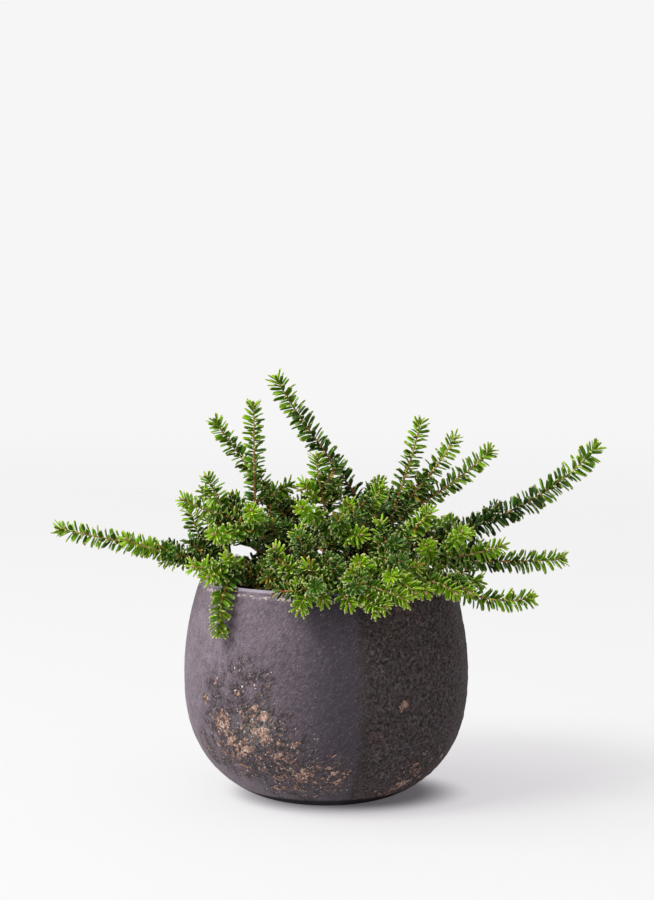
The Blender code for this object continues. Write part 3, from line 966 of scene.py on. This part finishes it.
# Shoots of each mass. The first leaves the bough's tip, the others leave an earlier one:
# parent, share along it, heading, climb, length, turn of the heading, lift of the climb
masses = {
    "low_left": (
        (None, 0, 189, 23, 0.136, 0, -18),
        (0, 0.27, 212, 16, 0.054, 0, 0),
        (0, 0.13, 150, 60, 0.046, 0, 0),
    ),
    "front_left": (
        (None, 0, 240, 12, 0.062, 20, -104),
        (0, 0.12, 222, 16, 0.042, 0, -14),
    ),
    "rise_left": (
        (None, 0, 205, 18, 0.074, 0, 0),
        (0, 0.10, 236, -4, 0.054, 0, 2),
        (0, 0.08, 262, 20, 0.040, 0, 0),
    ),
    "back_left": (
        (None, 0, 176, 58, 0.052, 0, 0),
        (0, 0.20, 130, 30, 0.046, 0, 0),
    ),
    "tall_left": (
        (None, 0, 268, 80, 0.084, 0, 0),
        (0, 0.10, 20, 16, 0.026, 0, 8),
    ),
    "tall_back": (
        (None, 0, 176, 57, 0.108, 0, -10),
        (0, 0.17, 18, 14, 0.036, 0, 36),
        (0, 0.07, 104, 18, 0.056, 0, 0),
    ),
    "crown": (
        (None, 0, 168, 55, 0.136, 0, -4),
        (0, 0.06, 78, 16, 0.052, 0, 0),
    ),
    "rise_right": (
        (None, 0, 322, 68, 0.086, 8, 0),
        (0, 0.09, 340, 48, 0.080, 0, 2),
        (0, 0.07, 351, 30, 0.094, 0, 8),
    ),
    "back_right": (
        (None, 0, 60, 24, 0.050, 0, 0),
        (0, 0.16, 166, 44, 0.038, 0, 0),
    ),
    "centre": (
        (None, 0, 218, 74, 0.058, 0, 0),
        (0, 0.14, 335, 16, 0.050, 0, 28),
        (0, 0.18, 240, 18, 0.038, 0, 0),
        (0, 0.13, 297, -14, 0.048, 0, 18),
    ),
    "front": (
        (None, 0, 300, 12, 0.072, 26, -46),
        (0, 0.20, 160, 46, 0.046, 0, 10),
        (0, 0.12, 204, 0, 0.054, 0, 60),
        (0, 0.14, 232, 4, 0.030, 0, -10),
        (0, 0.26, 232, 20, 0.048, 0, -80),
    ),
    "front_right": (
        (None, 0, 330, 82, 0.042, 0, 0),
        (0, 0.20, 346, 44, 0.056, 0, 4),
        (0, 0.16, 250, 4, 0.034, 0, 10),
        (0, 0.17, 284, 10, 0.058, 30, -46),
    ),
    "right_front": (
        (None, 0, 332, -3, 0.072, 36, 0),
        (0, 0.60, 346, -26, 0.066, 0, 28),
    ),
    "right": (
        (None, 0, 358, 1, 0.108, 0, -3),
        (0, 0.07, 338, 13, 0.058, 0, 0),
        (0, 0.14, 290, 34, 0.040, 0, 0),
        (0, 0.06, 260, 22, 0.036, 0, 0),
    ),
    "far_right": (
        (None, 0, 7, 14, 0.152, 0, 24),
        (0, 0.07, 300, 10, 0.030, 0, 0),
        (0, 0.09, 80, 8, 0.036, 0, 0),
    ),
    "inner_left": (
        (None, 0, 196, 6, 0.034, 0, 0),
        (0, 0.25, 244, 10, 0.026, 0, 0),
    ),
    "back_first": (
        (None, 0, 55, 14, 0.084, 0, -10),
        (0, 0.10, 92, 28, 0.054, 0, 0),
        (0, 0.20, 20, 12, 0.056, 0, 0),
    ),
    "back_second": (
        (None, 0, 96, 14, 0.094, 0, -44),
        (0, 0.10, 66, 28, 0.050, 0, 0),
        (0, 0.16, 130, 20, 0.052, 0, 0),
    ),
    "back_third": (
        (None, 0, 124, 22, 0.078, 0, 0),
        (0, 0.12, 84, 32, 0.048, 0, 0),
        (0, 0.20, 156, 8, 0.056, 0, 0),
    ),
    "back_fourth": (
        (None, 0, 152, 2, 0.072, 0, -14),
        (0, 0.14, 112, 22, 0.048, 0, 0),
    ),
    "back_fifth": (
        (None, 0, 30, 6, 0.064, 0, -8),
        (0, 0.14, 66, 22, 0.052, 0, 0),
        (0, 0.30, 4, -4, 0.044, 0, 0),
    ),
}

foliageNodes = ["foliage_" + name for name in masses]

# Young shoots that fill the front over the rim, each on a shoot of a mass:
# mass, shoot, share along it, heading, climb, length, lift of the climb, how far it is fresh
sprigs = (
    ("front", 0, 0.30, 331, 4, 0.060, -26, 0.030),
    ("front", 0, 0.12, 294, -2, 0.043, -28, 0.006),
    ("front", 0, 0.55, 312, -12, 0.030, -32, 0.022),
    ("front", 1, 0.25, 299, 36, 0.016, 0, 0.0),
    ("front", 3, 0.35, 276, -10, 0.025, -28, 0.008),
    ("front_right", 2, 0.30, 237, 0, 0.036, -24, 0.010),
    ("right_front", 0, 0.15, 293, 8, 0.044, -28, 0.012),
    ("right_front", 0, 0.38, 311, 6, 0.038, -28, 0.018),
    ("right_front", 0, 0.60, 317, 4, 0.028, -28, 0.014),
    ("front_left", 0, 0.06, 242, 38, 0.023, 0, 0.010),
    ("front_left", 1, 0.25, 242, -2, 0.029, 0, 0.012),
)

sideShoots = {
    "onBough": (5, 0.22, 0.97),         # how many, and over which share of the length
    "onShoot": (2, 0.06, 0.40),
    "inFront": (5, 0.08, 0.75),
    "shortest": 0.014,
    "longest": 0.026,
    "angle": 46,
    "leastParent": 0.046,
    "liftShare": 0.8,
    "liftLeast": 0.1,
    "towardsFront": (0, -0.8, -0.15),
    "potClear": 0.003,
    "rootPoints": 4,            # these may be nearer the pot
    "fresh": 0.015,
    "freshShare": 0.12,
    "freshInFront": 0.32,
    "bareStart": 0.003,
    "age": 0.4,
    "scale": 0.95,
}

# These bear no side shoots.
single = {("front_left", 0), ("front_left", 1), ("crown", 0), ("tall_left", 0)}

# How far some shoots grow past their line, where it isn't the usual reach
stretch = {
    ("low_left", 0): 0.008,
    ("front_left", 1): 0.003,
    ("rise_left", 0): 0.002,
    ("tall_left", 0): 0.003,
    ("tall_back", 0): 0.003,
    ("crown", 0): 0.001,
    ("front", 0): 0.0,
    ("front", 1): 0.0,
    ("front", 2): 0.0,
    ("front", 4): 0.0,
    ("front_right", 0): 0.0,
    ("front_right", 1): 0.0,
    ("front_right", 3): 0.0,
    ("right_front", 0): 0.0,
    ("right", 0): 0.002,
    ("right", 1): 0.0,
    ("back_second", 0): 0.001,
}

# How far back from its tip a shoot's leaves are still fresh green, for those that differ from the usual
freshReach = {
    "usual": 0.019,
    "least": 0.85,
    "most": 1.25,
    ("low_left", 0): 0.038,
    ("low_left", 1): 0.030,
    ("rise_right", 0): 0.024,
    ("rise_right", 1): 0.026,
    ("rise_right", 2): 0.036,
    ("tall_left", 0): 0.030,
    ("tall_back", 0): 0.032,
    ("crown", 0): 0.027,
    ("far_right", 0): 0.030,
    ("right", 0): 0.024,
    ("front_left", 0): 0.018,
    ("front_left", 1): 0.024,
    ("front", 0): 0.026,
    ("front", 1): 0.030,
    ("front", 2): 0.030,
    ("front", 4): 0.030,
    ("front_right", 3): 0.026,
    ("right_front", 0): 0.034,
    ("right_front", 1): 0.024,
    ("right", 1): 0.026,
    ("centre", 3): 0.028,
    ("inner_left", 0): 0.0,
    ("inner_left", 1): 0.0,
}

# The size of the leaves on shoots that differ from the usual
leafScale = {
    ("crown", 0): 1.14,
    ("far_right", 0): 1.20,
    ("tall_left", 0): 0.98,
    ("right", 0): 1.06,
    ("front_left", 0): 1.08,
    ("right_front", 1): 1.05,
    ("front", 0): 1.04,
    ("front", 1): 1.08,
    ("front", 4): 1.06,
    ("front_right", 3): 1.12,
    ("right_front", 0): 1.08,
}

# Gaps where the air shows through, where lines of sight from the camera cross the stem's plane:
# the middle of each, sideways and up, and its half width and half height
skyGaps = (
    (-0.0680, 0.1975, 0.0110, 0.0055),
    (-0.0055, 0.1975, 0.0050, 0.0045),
    (-0.1357, 0.2170, 0.0080, 0.0060),
)

twig = {
    "rootRadius": 0.0010,
    "tipRadius": 0.0006,
    "sides": 7,
    "step": 0.001,
    "reach": 0.006,         # straight growth past the end of the line
    "cushion": 0.0003,
    "upturn": 9,
    "upturnPower": 4,
    "tanReach": 1.3,            # as shares of the stretch with fresh leaves
    "rustReach": 2,
    "rustMore": 0.035,
    # three colours along each twig, from the tip
    "twigTan": (0.600, 0.375, 0.130),
    "twigRust": (0.520, 0.215, 0.070),
    "twigRed": (0.300, 0.048, 0.028),
}


def shootLines(name, bough):
    lines = []
    for parent, share, heading, climb, length, turn, lift in masses[name]:
        start = bough[-1] if parent is None else pointAlong(lines[parent], share)
        lines.append(limbLine(start, heading, climb, length, turn, lift, twig["step"], twig["upturn"]))
    return lines


def grownOn(line, length):
    # The line with a straight stretch added at its end.
    way = line[-1] - line[-4]
    way /= np.linalg.norm(way)
    steps = np.arange(1, round(length / twig["step"]) + 1)[:, None] * twig["step"]
    return np.concatenate((line, line[-1] + way * steps))


def branchOff(line, share, length, forward):
    # A short side shoot, leaving a limb towards a chance side but never far downwards.
    ways, sides, others = carriedFrames(line)
    i = min(int(share * (len(line) - 1)), len(line) - 2)
    turn = dice.uniform(0, 2 * math.pi)
    out = sides[i] * math.cos(turn) + others[i] * math.sin(turn)
    out[2] = abs(out[2]) * sideShoots["liftShare"] + sideShoots["liftLeast"]
    out = out + np.array(sideShoots["towardsFront"]) * forward
    out /= np.linalg.norm(out)
    angle = math.radians(sideShoots["angle"])
    way = ways[i] * math.cos(angle) + out * math.sin(angle)
    way /= np.linalg.norm(way)
    heading = math.degrees(math.atan2(way[1], way[0]))
    climb = math.degrees(math.asin(way[2]))
    return limbLine(line[i], heading, climb, length, 0, 0, twig["step"], twig["upturn"])


def inSkyGap(point):
    eye = np.array(studio["cameraPlace"])
    crossing = eye + (point - eye) * eye[1] / (eye[1] - point[1])
    return any(((crossing[0] - x) / wide) ** 2 + ((crossing[2] - z) / high) ** 2 < 1
               for x, z, wide, high in skyGaps)


def shootRow(line, fresh, bare, age=0.0, scale=1.0):
    # Line, how far its leaves are fresh, where they start, age of its bark and size of its leaves.
    return {"line": line, "fresh": fresh, "bare": bare, "age": age, "scale": scale}


def growShoots():
    # Every leafy limb, mass by mass: the shoots of its own, its bough, its sprigs, its side shoots.
    shoots = []
    for name in boughs:
        bough = boughLine(name)
        lines = shootLines(name, bough)
        front = name.startswith("front") or name == "centre"
        parents = [(bough, sideShoots["onBough"])]
        for number, line in enumerate(lines):
            key = (name, number)
            usual = freshReach["usual"] * dice.uniform(freshReach["least"], freshReach["most"])
            grown = grownOn(line, stretch.get(key, twig["reach"]))
            row = shootRow(grown, freshReach.get(key, usual), leaf["bareStart"])
            shoots.append({**row, "scale": leafScale.get(key, 1.0)})
            if len(line) * twig["step"] > sideShoots["leastParent"] and key not in single:
                parents.append((line, sideShoots["inFront" if front else "onShoot"]))
        shoots.append(shootRow(bough, 0.0, leaf["boughStart"], 1.0))
        for mass, number, share, heading, climb, length, lift, fresh in sprigs:
            if mass == name:
                start = pointAlong(lines[number], share)
                grown = limbLine(start, heading, climb, length, 0, lift, twig["step"])
                shoots.append(shootRow(grown, fresh, sideShoots["bareStart"]))
        for line, (count, low, high) in parents:
            for share in dice.uniform(low, high, count):
                length = dice.uniform(sideShoots["shortest"], sideShoots["longest"])
                grown = branchOff(line, share, length, dice.uniform(0, 1) * front)
                chance = sideShoots["freshInFront" if front else "freshShare"]
                fresh = sideShoots["fresh"] * (dice.uniform() < chance)
                free = clearOfPot(grown[sideShoots["rootPoints"]:], sideShoots["potClear"])
                if free and not any(inSkyGap(point) for point in grown):
                    row = (sideShoots["bareStart"], sideShoots["age"], sideShoots["scale"])
                    shoots.append(shootRow(grown, fresh, *row))
    return shoots


def makeTwigs(shoots):
    tubes = []
    for shoot in shoots:
        if shoot["age"] == 1:
            continue
        line = shoot["line"]
        count = len(line)
        radii = np.linspace(twig["rootRadius"], twig["tipRadius"], count)[:, None]
        radii = radii * np.ones((1, twig["sides"]))
        # Each leaf stands on a small cushion, on one side of its ring.
        facing = (np.arange(count) * leaf["turn"] / 360 * twig["sides"]).astype(int) % twig["sides"]
        radii[np.arange(count), facing] += twig["cushion"]
        left = (count - np.arange(count)) * twig["step"]
        tan = left < shoot["fresh"] * twig["tanReach"]
        rust = left < shoot["fresh"] * twig["rustReach"] + twig["rustMore"]
        slots = np.where(tan, 0, np.where(rust, 1, 2))
        tubes.append((tubeRings(line, radii, twig["sides"]), slots.tolist()))
    finishes = [Finish(name, twig[name], 0.6) for name in ("twigTan", "twigRust", "twigRed")]
    piece = joinedTubes("twigs", tubes, finishes)
    belong(piece, "foliage", *foliageNodes)
    print("twigs", len(tubes), "with", len(piece.data.polygons), "faces")


leaf = {
    "length": 0.0099,
    "tipLength": 0.0090,
    "width": 0.0033,
    "tipWidth": 0.0018,
    "thickness": 0.80,
    "sizeSpread": 0.07,
    "youngLength": 1.4,         # powers of youth that the length and the angle change with
    "youngAngle": 0.8,
    "spacing": 0.00082,
    "tipCrowding": 0.64,
    "turn": 137.5,
    "turnSpread": 7,
    "angleSpread": 6,
    "angle": 63,
    "tipAngle": 46,
    "tipZone": 0.011,
    "bareStart": 0.004,
    "boughStart": 0.010,
    "curl": -0.12,
    "tipCurl": 0.06,
    "curlSpread": 0.05,
    "hang": 0.14,
    "hangSpread": (0.4, 1.2),
    "faceUp": 0.35,
    "faceSpread": 0.16,
    "twist": 38,
    "tipTwist": 16,
    "pressed": 0.40,        # share of its angle that is left to a leaf with something in its way
    "limbClear": 0.0015,
    "potClear": 0.0006,
    "gloss": 0.16,
    "youngGloss": 0.12,
    "roughness": (0.34, 0.42, 0.60, 0.60),      # blade, edge, underside, point
    "mostInPiece": 2000,
    # share of the length, share of the width: a short stalk, a long blade, a blunt end with a point
    "outline": (
        (0.00, 0.24), (0.07, 0.34), (0.28, 0.86),
        (0.66, 1.00), (0.90, 0.88), (1.00, 0.30),
    ),
}

# The greens of each kind of leaf: blade, rolled edge lightened as a painted highlight, underside
# darkened as painted shade, and its point and stalk
leafTones = {
    "tip": (
        (0.195, 0.365, 0.006), (0.325, 0.490, 0.030), (0.125, 0.215, 0.008), (0.540, 0.540, 0.230),
    ),
    "fresh": (
        (0.112, 0.285, 0.004), (0.220, 0.410, 0.016), (0.060, 0.136, 0.005), (0.500, 0.510, 0.210),
    ),
    "freshWarm": (
        (0.148, 0.310, 0.004), (0.262, 0.430, 0.018), (0.078, 0.150, 0.005), (0.500, 0.510, 0.210),
    ),
    "midGreen": (
        (0.070, 0.195, 0.004), (0.152, 0.305, 0.014), (0.036, 0.086, 0.005), (0.400, 0.430, 0.170),
    ),
    "midWarm": (
        (0.095, 0.212, 0.004), (0.178, 0.320, 0.014), (0.048, 0.095, 0.005), (0.410, 0.420, 0.165),
    ),
    "deepGreen": (
        (0.044, 0.126, 0.006), (0.105, 0.212, 0.020), (0.021, 0.053, 0.005), (0.320, 0.350, 0.140),
    ),
    "deepBlue": (
        (0.038, 0.110, 0.015), (0.094, 0.186, 0.036), (0.019, 0.046, 0.010), (0.290, 0.320, 0.150),
    ),
    "shade": (
        (0.052, 0.098, 0.006), (0.090, 0.150, 0.014), (0.025, 0.048, 0.005), (0.220, 0.225, 0.080),
    ),
    "fading": (
        (0.230, 0.185, 0.012), (0.300, 0.245, 0.020), (0.140, 0.110, 0.018), (0.360, 0.280, 0.080),
    ),
}

freshTones = ("tip", "fresh", "freshWarm")

# Which leaves get which green
leafPlaces = {
    "insideReach": 0.085,       # from the stem, and under this height
    "insideTop": 0.205,
    "lowTop": 0.190,
    "fadingLow": 0.28,          # shares of the leaves that fade, low inside and on side shoots
    "fadingElsewhere": 0.06,
    "tipReach": 0.004,
    "freshSpread": (0.85, 0.3),
    "middleSpread": (1.7, 0.8),
    "coolShare": 0.60,          # the rest of the fresh and middle leaves are warmer
    "shadeShare": 0.45,
    "greenShare": 0.62,         # of the deep leaves, with those in the shade
}


def leafPattern():
    # A blade of unit length along Z and unit width along X, its upper side towards +Y:
    # a sunk middle, raised shoulders, rolled edges and a midrib underneath.
    rings = [(width / math.sqrt(3), share) for share, width in leaf["outline"]]
    blade = turnedPiece("leafPattern", rings, 6)
    nearAxis = 1e-5
    resizeWhere(blade, lambda p: abs(p.x) < nearAxis and p.y > 0, (1, 0.16, 1))
    resizeWhere(blade, lambda p: abs(p.x) > nearAxis and p.y > 0, (0.62, 0.80, 1))
    resizeWhere(blade, lambda p: abs(p.x) > nearAxis and p.y < 0, (1, 0.34, 1))
    resizeWhere(blade, lambda p: abs(p.x) < nearAxis and p.y < 0, (1, 0.36, 1))

    def slotOf(face):
        # 0 the blade, 1 its edges, 2 its underside, 3 its point and its stalk
        if face.center.z > 0.93 or face.center.z < 0.05:
            return 3
        if face.normal.y < -0.5:
            return 2
        return 1 if abs(face.normal.x) > 0.6 else 0

    return patternOf(blade, slotOf)


def leafRows(shoot):
    # Every leaf of a shoot: root, way ahead, way out, distance to the tip and youth.
    line = shoot["line"]
    ways, sides, others = carriedFrames(line)
    length = np.linalg.norm(np.diff(line, axis=0), axis=1).sum()
    first = dice.uniform(0, 360)
    place, number, rows = shoot["bare"], 0, []
    while place < length:
        i = place / length * (len(line) - 1)
        low = min(int(i), len(line) - 2)
        root = line[low] + (line[low + 1] - line[low]) * (i - low)
        turn = math.radians(first + leaf["turn"] * number + dice.normal(0, leaf["turnSpread"]))
        out = sides[low] * math.cos(turn) + others[low] * math.sin(turn)
        left = length - place
        young = max(0.0, 1 - left / leaf["tipZone"])
        rows.append((root, ways[low], out, left, young))
        place += leaf["spacing"] * (1 - leaf["tipCrowding"] * young)
        number += 1
    return rows


def leafTone(left, shoot, root):
    # Which green a leaf has: by its distance from the tip, and in the shade inside the plant.
    rule = leafPlaces
    inside = math.hypot(root[0], root[1]) < rule["insideReach"] and root[2] < rule["insideTop"]
    chance = dice.uniform()
    fading = rule["fadingElsewhere"] * (shoot["age"] > 0)
    if inside and root[2] < rule["lowTop"]:
        fading = rule["fadingLow"]
    if chance < fading:
        return "fading"
    if left < rule["tipReach"] and shoot["fresh"] > 0:
        return "tip"
    cool = chance < rule["coolShare"]
    least, more = rule["freshSpread"]
    if left < shoot["fresh"] * (least + more * chance):
        return "fresh" if cool else "freshWarm"
    least, more = rule["middleSpread"]
    if left < shoot["fresh"] * (least + more * chance):
        return "midGreen" if cool else "midWarm"
    if inside and chance < rule["shadeShare"]:
        return "shade"
    return "deepGreen" if chance < rule["greenShare"] else "deepBlue"


def agedBetween(old, new, young):
    return leaf[old] + (leaf[new] - leaf[old]) * young


def shapedLeaves(pattern, rows, scale, opening=1.0):
    # Sets a copy of the blade on each row's root, bent and rolled a little by chance.
    root, ahead, out, left, young = (np.array(part) for part in zip(*rows))
    count = len(root)
    young = young[:, None]
    angle = agedBetween("angle", "tipAngle", young ** leaf["youngAngle"])
    chance = dice.normal(0, leaf["angleSpread"], (count, 1)) * (1 - young * 0.5)
    angle = np.radians(angle + chance) * opening
    way = ahead * np.cos(angle) + out * np.sin(angle)
    way[:, 2] -= leaf["hang"] * (1 - young[:, 0]) * dice.uniform(*leaf["hangSpread"], count)
    way /= np.linalg.norm(way, axis=1)[:, None]
    face = ahead + np.array((0, 0, leaf["faceUp"])) * (1 - young)
    face = face + dice.normal(0, leaf["faceSpread"], (count, 3))
    face -= way * np.sum(face * way, axis=1)[:, None]
    face /= np.linalg.norm(face, axis=1)[:, None]
    twist = np.radians(agedBetween("twist", "tipTwist", young)) * dice.normal(0, 1, (count, 1))
    face = face * np.cos(twist) + np.cross(way, face) * np.sin(twist)
    side = np.cross(face, way)
    spread = dice.normal(1, leaf["sizeSpread"], (count, 1)) * scale
    length = agedBetween("length", "tipLength", young ** leaf["youngLength"]) * spread
    width = agedBetween("width", "tipWidth", young)
    width = width * dice.normal(1, leaf["sizeSpread"], (count, 1)) * scale
    curl = agedBetween("curl", "tipCurl", young) + dice.normal(0, leaf["curlSpread"], (count, 1))
    x, y, z = (pattern["points"][None, :, k] for k in range(3))
    lift = y * width * leaf["thickness"] + curl * length * z ** 2
    return (root[:, None] + side[:, None] * (x * width)[..., None]
            + face[:, None] * lift[..., None] + way[:, None] * (z * length)[..., None])


def limbTree(shoots):
    # Points along every limb, with the shoot each belongs to, for telling what a leaf would hit.
    marks = [(point, number) for number, shoot in enumerate(shoots) for point in shoot["line"]]
    tree = kdtree.KDTree(len(marks))
    for number, (point, owner) in enumerate(marks):
        tree.insert(point, number)
    tree.balance()
    return tree, [owner for point, owner in marks]


def makeLeaves(shoots):
    pattern = leafPattern()
    tree, owners = limbTree(shoots)
    end = np.argmax(pattern["points"][:, 2])
    belly = np.argmin(np.abs(pattern["points"][:, 2] - 0.6) + np.abs(pattern["points"][:, 0]))

    def fits(copy, number):
        # Whether a leaf stays clear of the pot, the mix and the other limbs.
        marks = (copy[end], copy[belly])
        if not clearOfPot(marks, leaf["potClear"]) or inSkyGap(copy[belly]):
            return False
        hits = sum((tree.find_range(mark, leaf["limbClear"]) for mark in marks), [])
        return all(owners[index] == number for place, index, gap in hits)

    grown = {tone: [] for tone in leafTones}
    for number, shoot in enumerate(shoots):
        rows = leafRows(shoot)
        wide = shapedLeaves(pattern, rows, shoot["scale"])
        close = shapedLeaves(pattern, rows, shoot["scale"], leaf["pressed"])
        for row, first, second in zip(rows, wide, close):
            for copy in (first, second):
                if fits(copy, number):
                    grown[leafTone(row[3], shoot, row[0])].append(copy)
                    break
    for tone, copies in grown.items():
        gloss = leaf["youngGloss"] if tone in freshTones else leaf["gloss"]
        # Edges carry a painted highlight, undersides painted shade.
        parts = zip(("Blade", "Edge", "UnderShade", "Point"), leafTones[tone], leaf["roughness"])
        finishes = [Finish(tone + part, colour, roughness) for part, colour, roughness in parts]
        for finish in finishes:
            finish.set("Specular IOR Level", gloss)
        for number in range(0, len(copies), leaf["mostInPiece"]):
            name = tone + "Leaves" + str(number // leaf["mostInPiece"] + 1)
            part = np.array(copies[number:number + leaf["mostInPiece"]])
            belong(joinedCopies(name, part, pattern, finishes), "foliage", *foliageNodes)
        print(tone, "leaves", len(copies))
    return pattern


bud = {
    "smallest": 0.0028,
    "largest": 0.0036,
    "slimness": 0.8,
    "ahead": 0.6,               # of its length, past the tip
    "point": (0.55, 0.55, 1.45),
    "pointFrom": 0.1,
    "colour": (0.500, 0.300, 0.190),
}


def makeBuds(shoots):
    # A pinkish egg-shaped bud at each tip.
    bpy.ops.object.select_all(action="DESELECT")
    bpy.ops.mesh.primitive_uv_sphere_add(segments=8, ring_count=6, radius=0.5)
    egg = bpy.context.object
    resizeWhere(egg, lambda p: p.z > bud["pointFrom"], bud["point"])
    pattern = patternOf(egg, lambda face: 0)
    copies = []
    for shoot in shoots:
        if shoot["age"] > 0:
            continue
        ways, sides, others = carriedFrames(shoot["line"])
        size = dice.uniform(bud["smallest"], bud["largest"])
        across = size * bud["slimness"]
        axes = np.stack((sides[-1] * across, others[-1] * across, ways[-1] * size), axis=1)
        centre = shoot["line"][-1] + ways[-1] * size * bud["ahead"]
        copies.append(pattern["points"] @ axes.T + centre)
    finish = Finish("tipBud", bud["colour"], 0.7)
    piece = joinedCopies("tipBuds", np.array(copies), pattern, [finish])
    belong(piece, "foliage", *foliageNodes)
    print("buds", len(copies))


fallenLeaves = {
    "count": 150,
    "spread": 0.086,
    "tilt": (-3, 16),
    "lift": 0.0022,
    "narrowed": 0.9,
    "curl": -0.10,
    "strawLeaf": (0.330, 0.230, 0.080),
    "brownLeaf": (0.140, 0.080, 0.040),
}


def makeFallenLeaves(pattern):
    # Dry leaves lying on the mix.
    flat = scatteredPlaces(fallenLeaves["count"], fallenLeaves["spread"])
    flat = flat[np.linalg.norm(flat - stem["place"], axis=1) > crumbs["stemClear"] + leaf["length"]]
    rows = []
    for x, y in flat:
        heading = dice.uniform(0, 360)
        way = direction(heading, dice.uniform(*fallenLeaves["tilt"]))
        rows.append(((x, y, mix["top"] + fallenLeaves["lift"]), way))
    root, way = (np.array(part) for part in zip(*rows))
    side = np.cross(np.array((0.1, 0.1, 1.0)), way)
    side /= np.linalg.norm(side, axis=1)[:, None]
    face = np.cross(way, side)
    x, y, z = (pattern["points"][None, :, k, None] for k in range(3))
    lift = y * leaf["width"] * leaf["thickness"]
    lift = lift + fallenLeaves["curl"] * leaf["length"] * (z - 0.5) ** 2
    copies = (root[:, None] + side[:, None] * x * leaf["width"] * fallenLeaves["narrowed"]
              + face[:, None] * lift + way[:, None] * (z - 0.5) * leaf["length"])
    half = len(copies) // 2
    for name, part in (("strawLeaf", copies[:half]), ("brownLeaf", copies[half:])):
        piece = joinedCopies(name, part, pattern, [Finish(name, fallenLeaves[name], 0.75)] * 4)
        belong(piece, "potting_mix", "potting_mix")
        print(name, len(part))


studio = {
    "cameraPlace": (0.0007, -1.65, 0.4095),
    "cameraTilt": 85.4835,
    "lens": 82.24,
    "floorColour": (0.230, 0.246, 0.230),
    "floorGlow": (0.585, 0.560, 0.585),
    # The glow inside a painted shadow round the pot's foot, and where that shadow lies
    "paintedShadowGlow": (0.090, 0.082, 0.094),
    "paintedFootShadow": (0.018, 1.3, 0.043, 0.080),    # middle, stretch sideways, inner and outer reach
    "floorSize": 12,
    "floorFade": (0.9, 4.5),
    "keyPlace": (-2.25, -1.58, 3.40),
    "keySize": 1.6,
    "keyPower": 140,
    "keyAim": (0.0, 0.0, 0.10),
    "horizon": 0.92,
    "overhead": 1.1,
    "middle": 0.38,
    "window": 3.2,
    "windowWay": (-0.86, -0.10, 0.50),
    # how far up, or how near the window's way, each light starts and is full
    "aloft": (0.17, 0.36),
    "overheadRise": (0.72, 0.95),
    "windowRise": (0.78, 0.95),
    "rightDimming": 0.4,
    "rightRise": (0.1, 0.8),
}


def makeFloor():
    bpy.ops.object.select_all(action="DESELECT")
    bpy.ops.mesh.primitive_plane_add(size=studio["floorSize"], location=(0, 0, 0))
    floor = bpy.context.object
    floor.name = "paleFloor"
    paper = Finish("paleFloor", studio["floorColour"], 0.9)
    paper.set("Specular IOR Level", 0.1)
    paper.set("Emission Strength", 1)
    x, y, z = paper.axes(paper.place())
    # The glow is dimmed in a patch round the pot's foot, pushed to the right: a painted shadow where the
    # pot meets the floor.
    middle, wide, inner, outer = studio["paintedFootShadow"]
    outsidePaintedShadow = paper.rise(paper.away((x - middle) * (1 / wide), y), inner, outer)
    paper.set("Emission Color", paper.tint(outsidePaintedShadow, studio["paintedShadowGlow"], studio["floorGlow"]))
    # The floor thins out into the air far from the pot, so that it has no far edge.
    gone = paper.rise(paper.away(x, y), *studio["floorFade"])
    clear = paper.node("BsdfTransparent", {}, {})
    surface = Wire(paper.tree, paper.shader.outputs[0])
    faded = paper.node("MixShader", {}, {0: gone, 1: surface, 2: clear})
    paper.tree.links.new(faded.socket, paper.tree.nodes["Material Output"].inputs["Surface"])
    floor.data.materials.append(paper.material)


def makeSky():
    # Pale at the level of the eye, dimmer above, with a broad light overhead and a window to the left.
    world = bpy.data.worlds.new("studio")
    world.use_nodes = True
    bpy.context.scene.world = world
    sky = NodeWork(world.node_tree)
    way = sky.node("TexCoord", {}, {}, "Generated")
    x, y, z = sky.axes(way)
    aloft = sky.rise(z, *studio["aloft"])
    light = studio["horizon"] + aloft * (studio["middle"] - studio["horizon"])
    overhead = sky.rise(z, *studio["overheadRise"])
    light = light + overhead * (studio["overhead"] - studio["middle"])
    sight = {0: way, 1: studio["windowWay"]}
    facing = sky.node("VectorMath", {"operation": "DOT_PRODUCT"}, sight, "Value")
    light = light + sky.rise(facing, *studio["windowRise"]) * aloft * studio["window"]
    light = light * (1 - studio["rightDimming"] * sky.rise(x, *studio["rightRise"]) * aloft)
    background = world.node_tree.nodes["Background"]
    connect(sky.tree, background.inputs["Color"], (1, 1, 1, 1))
    connect(sky.tree, background.inputs["Strength"], light)


def makeLights():
    bpy.ops.object.light_add(type="AREA", location=studio["keyPlace"])
    key = bpy.context.object
    key.data.shape = "DISK"
    key.data.size = studio["keySize"]
    key.data.energy = studio["keyPower"]
    aim = np.array(studio["keyAim"]) - np.array(studio["keyPlace"])
    key.rotation_euler = (
        math.atan2(math.hypot(aim[0], aim[1]), -aim[2]), 0, math.atan2(aim[1], aim[0]) - math.pi / 2
    )


def makeCamera():
    tilt = (math.radians(studio["cameraTilt"]), 0, 0)
    bpy.ops.object.camera_add(location=studio["cameraPlace"], rotation=tilt)
    camera = bpy.context.object
    camera.data.lens = studio["lens"]
    bpy.context.scene.camera = camera
    bpy.context.scene.view_settings.view_transform = "Standard"
    print("studio")


makeFloor()
makeSky()
makeLights()
makeCamera()
makePot()
makeMix()
makeCrumbs()
bark = grevilleaBark()
makeStem(bark)
makeBoughs(bark)
shoots = growShoots()
makeTwigs(shoots)
blade = makeLeaves(shoots)
makeBuds(shoots)
makeFallenLeaves(blade)
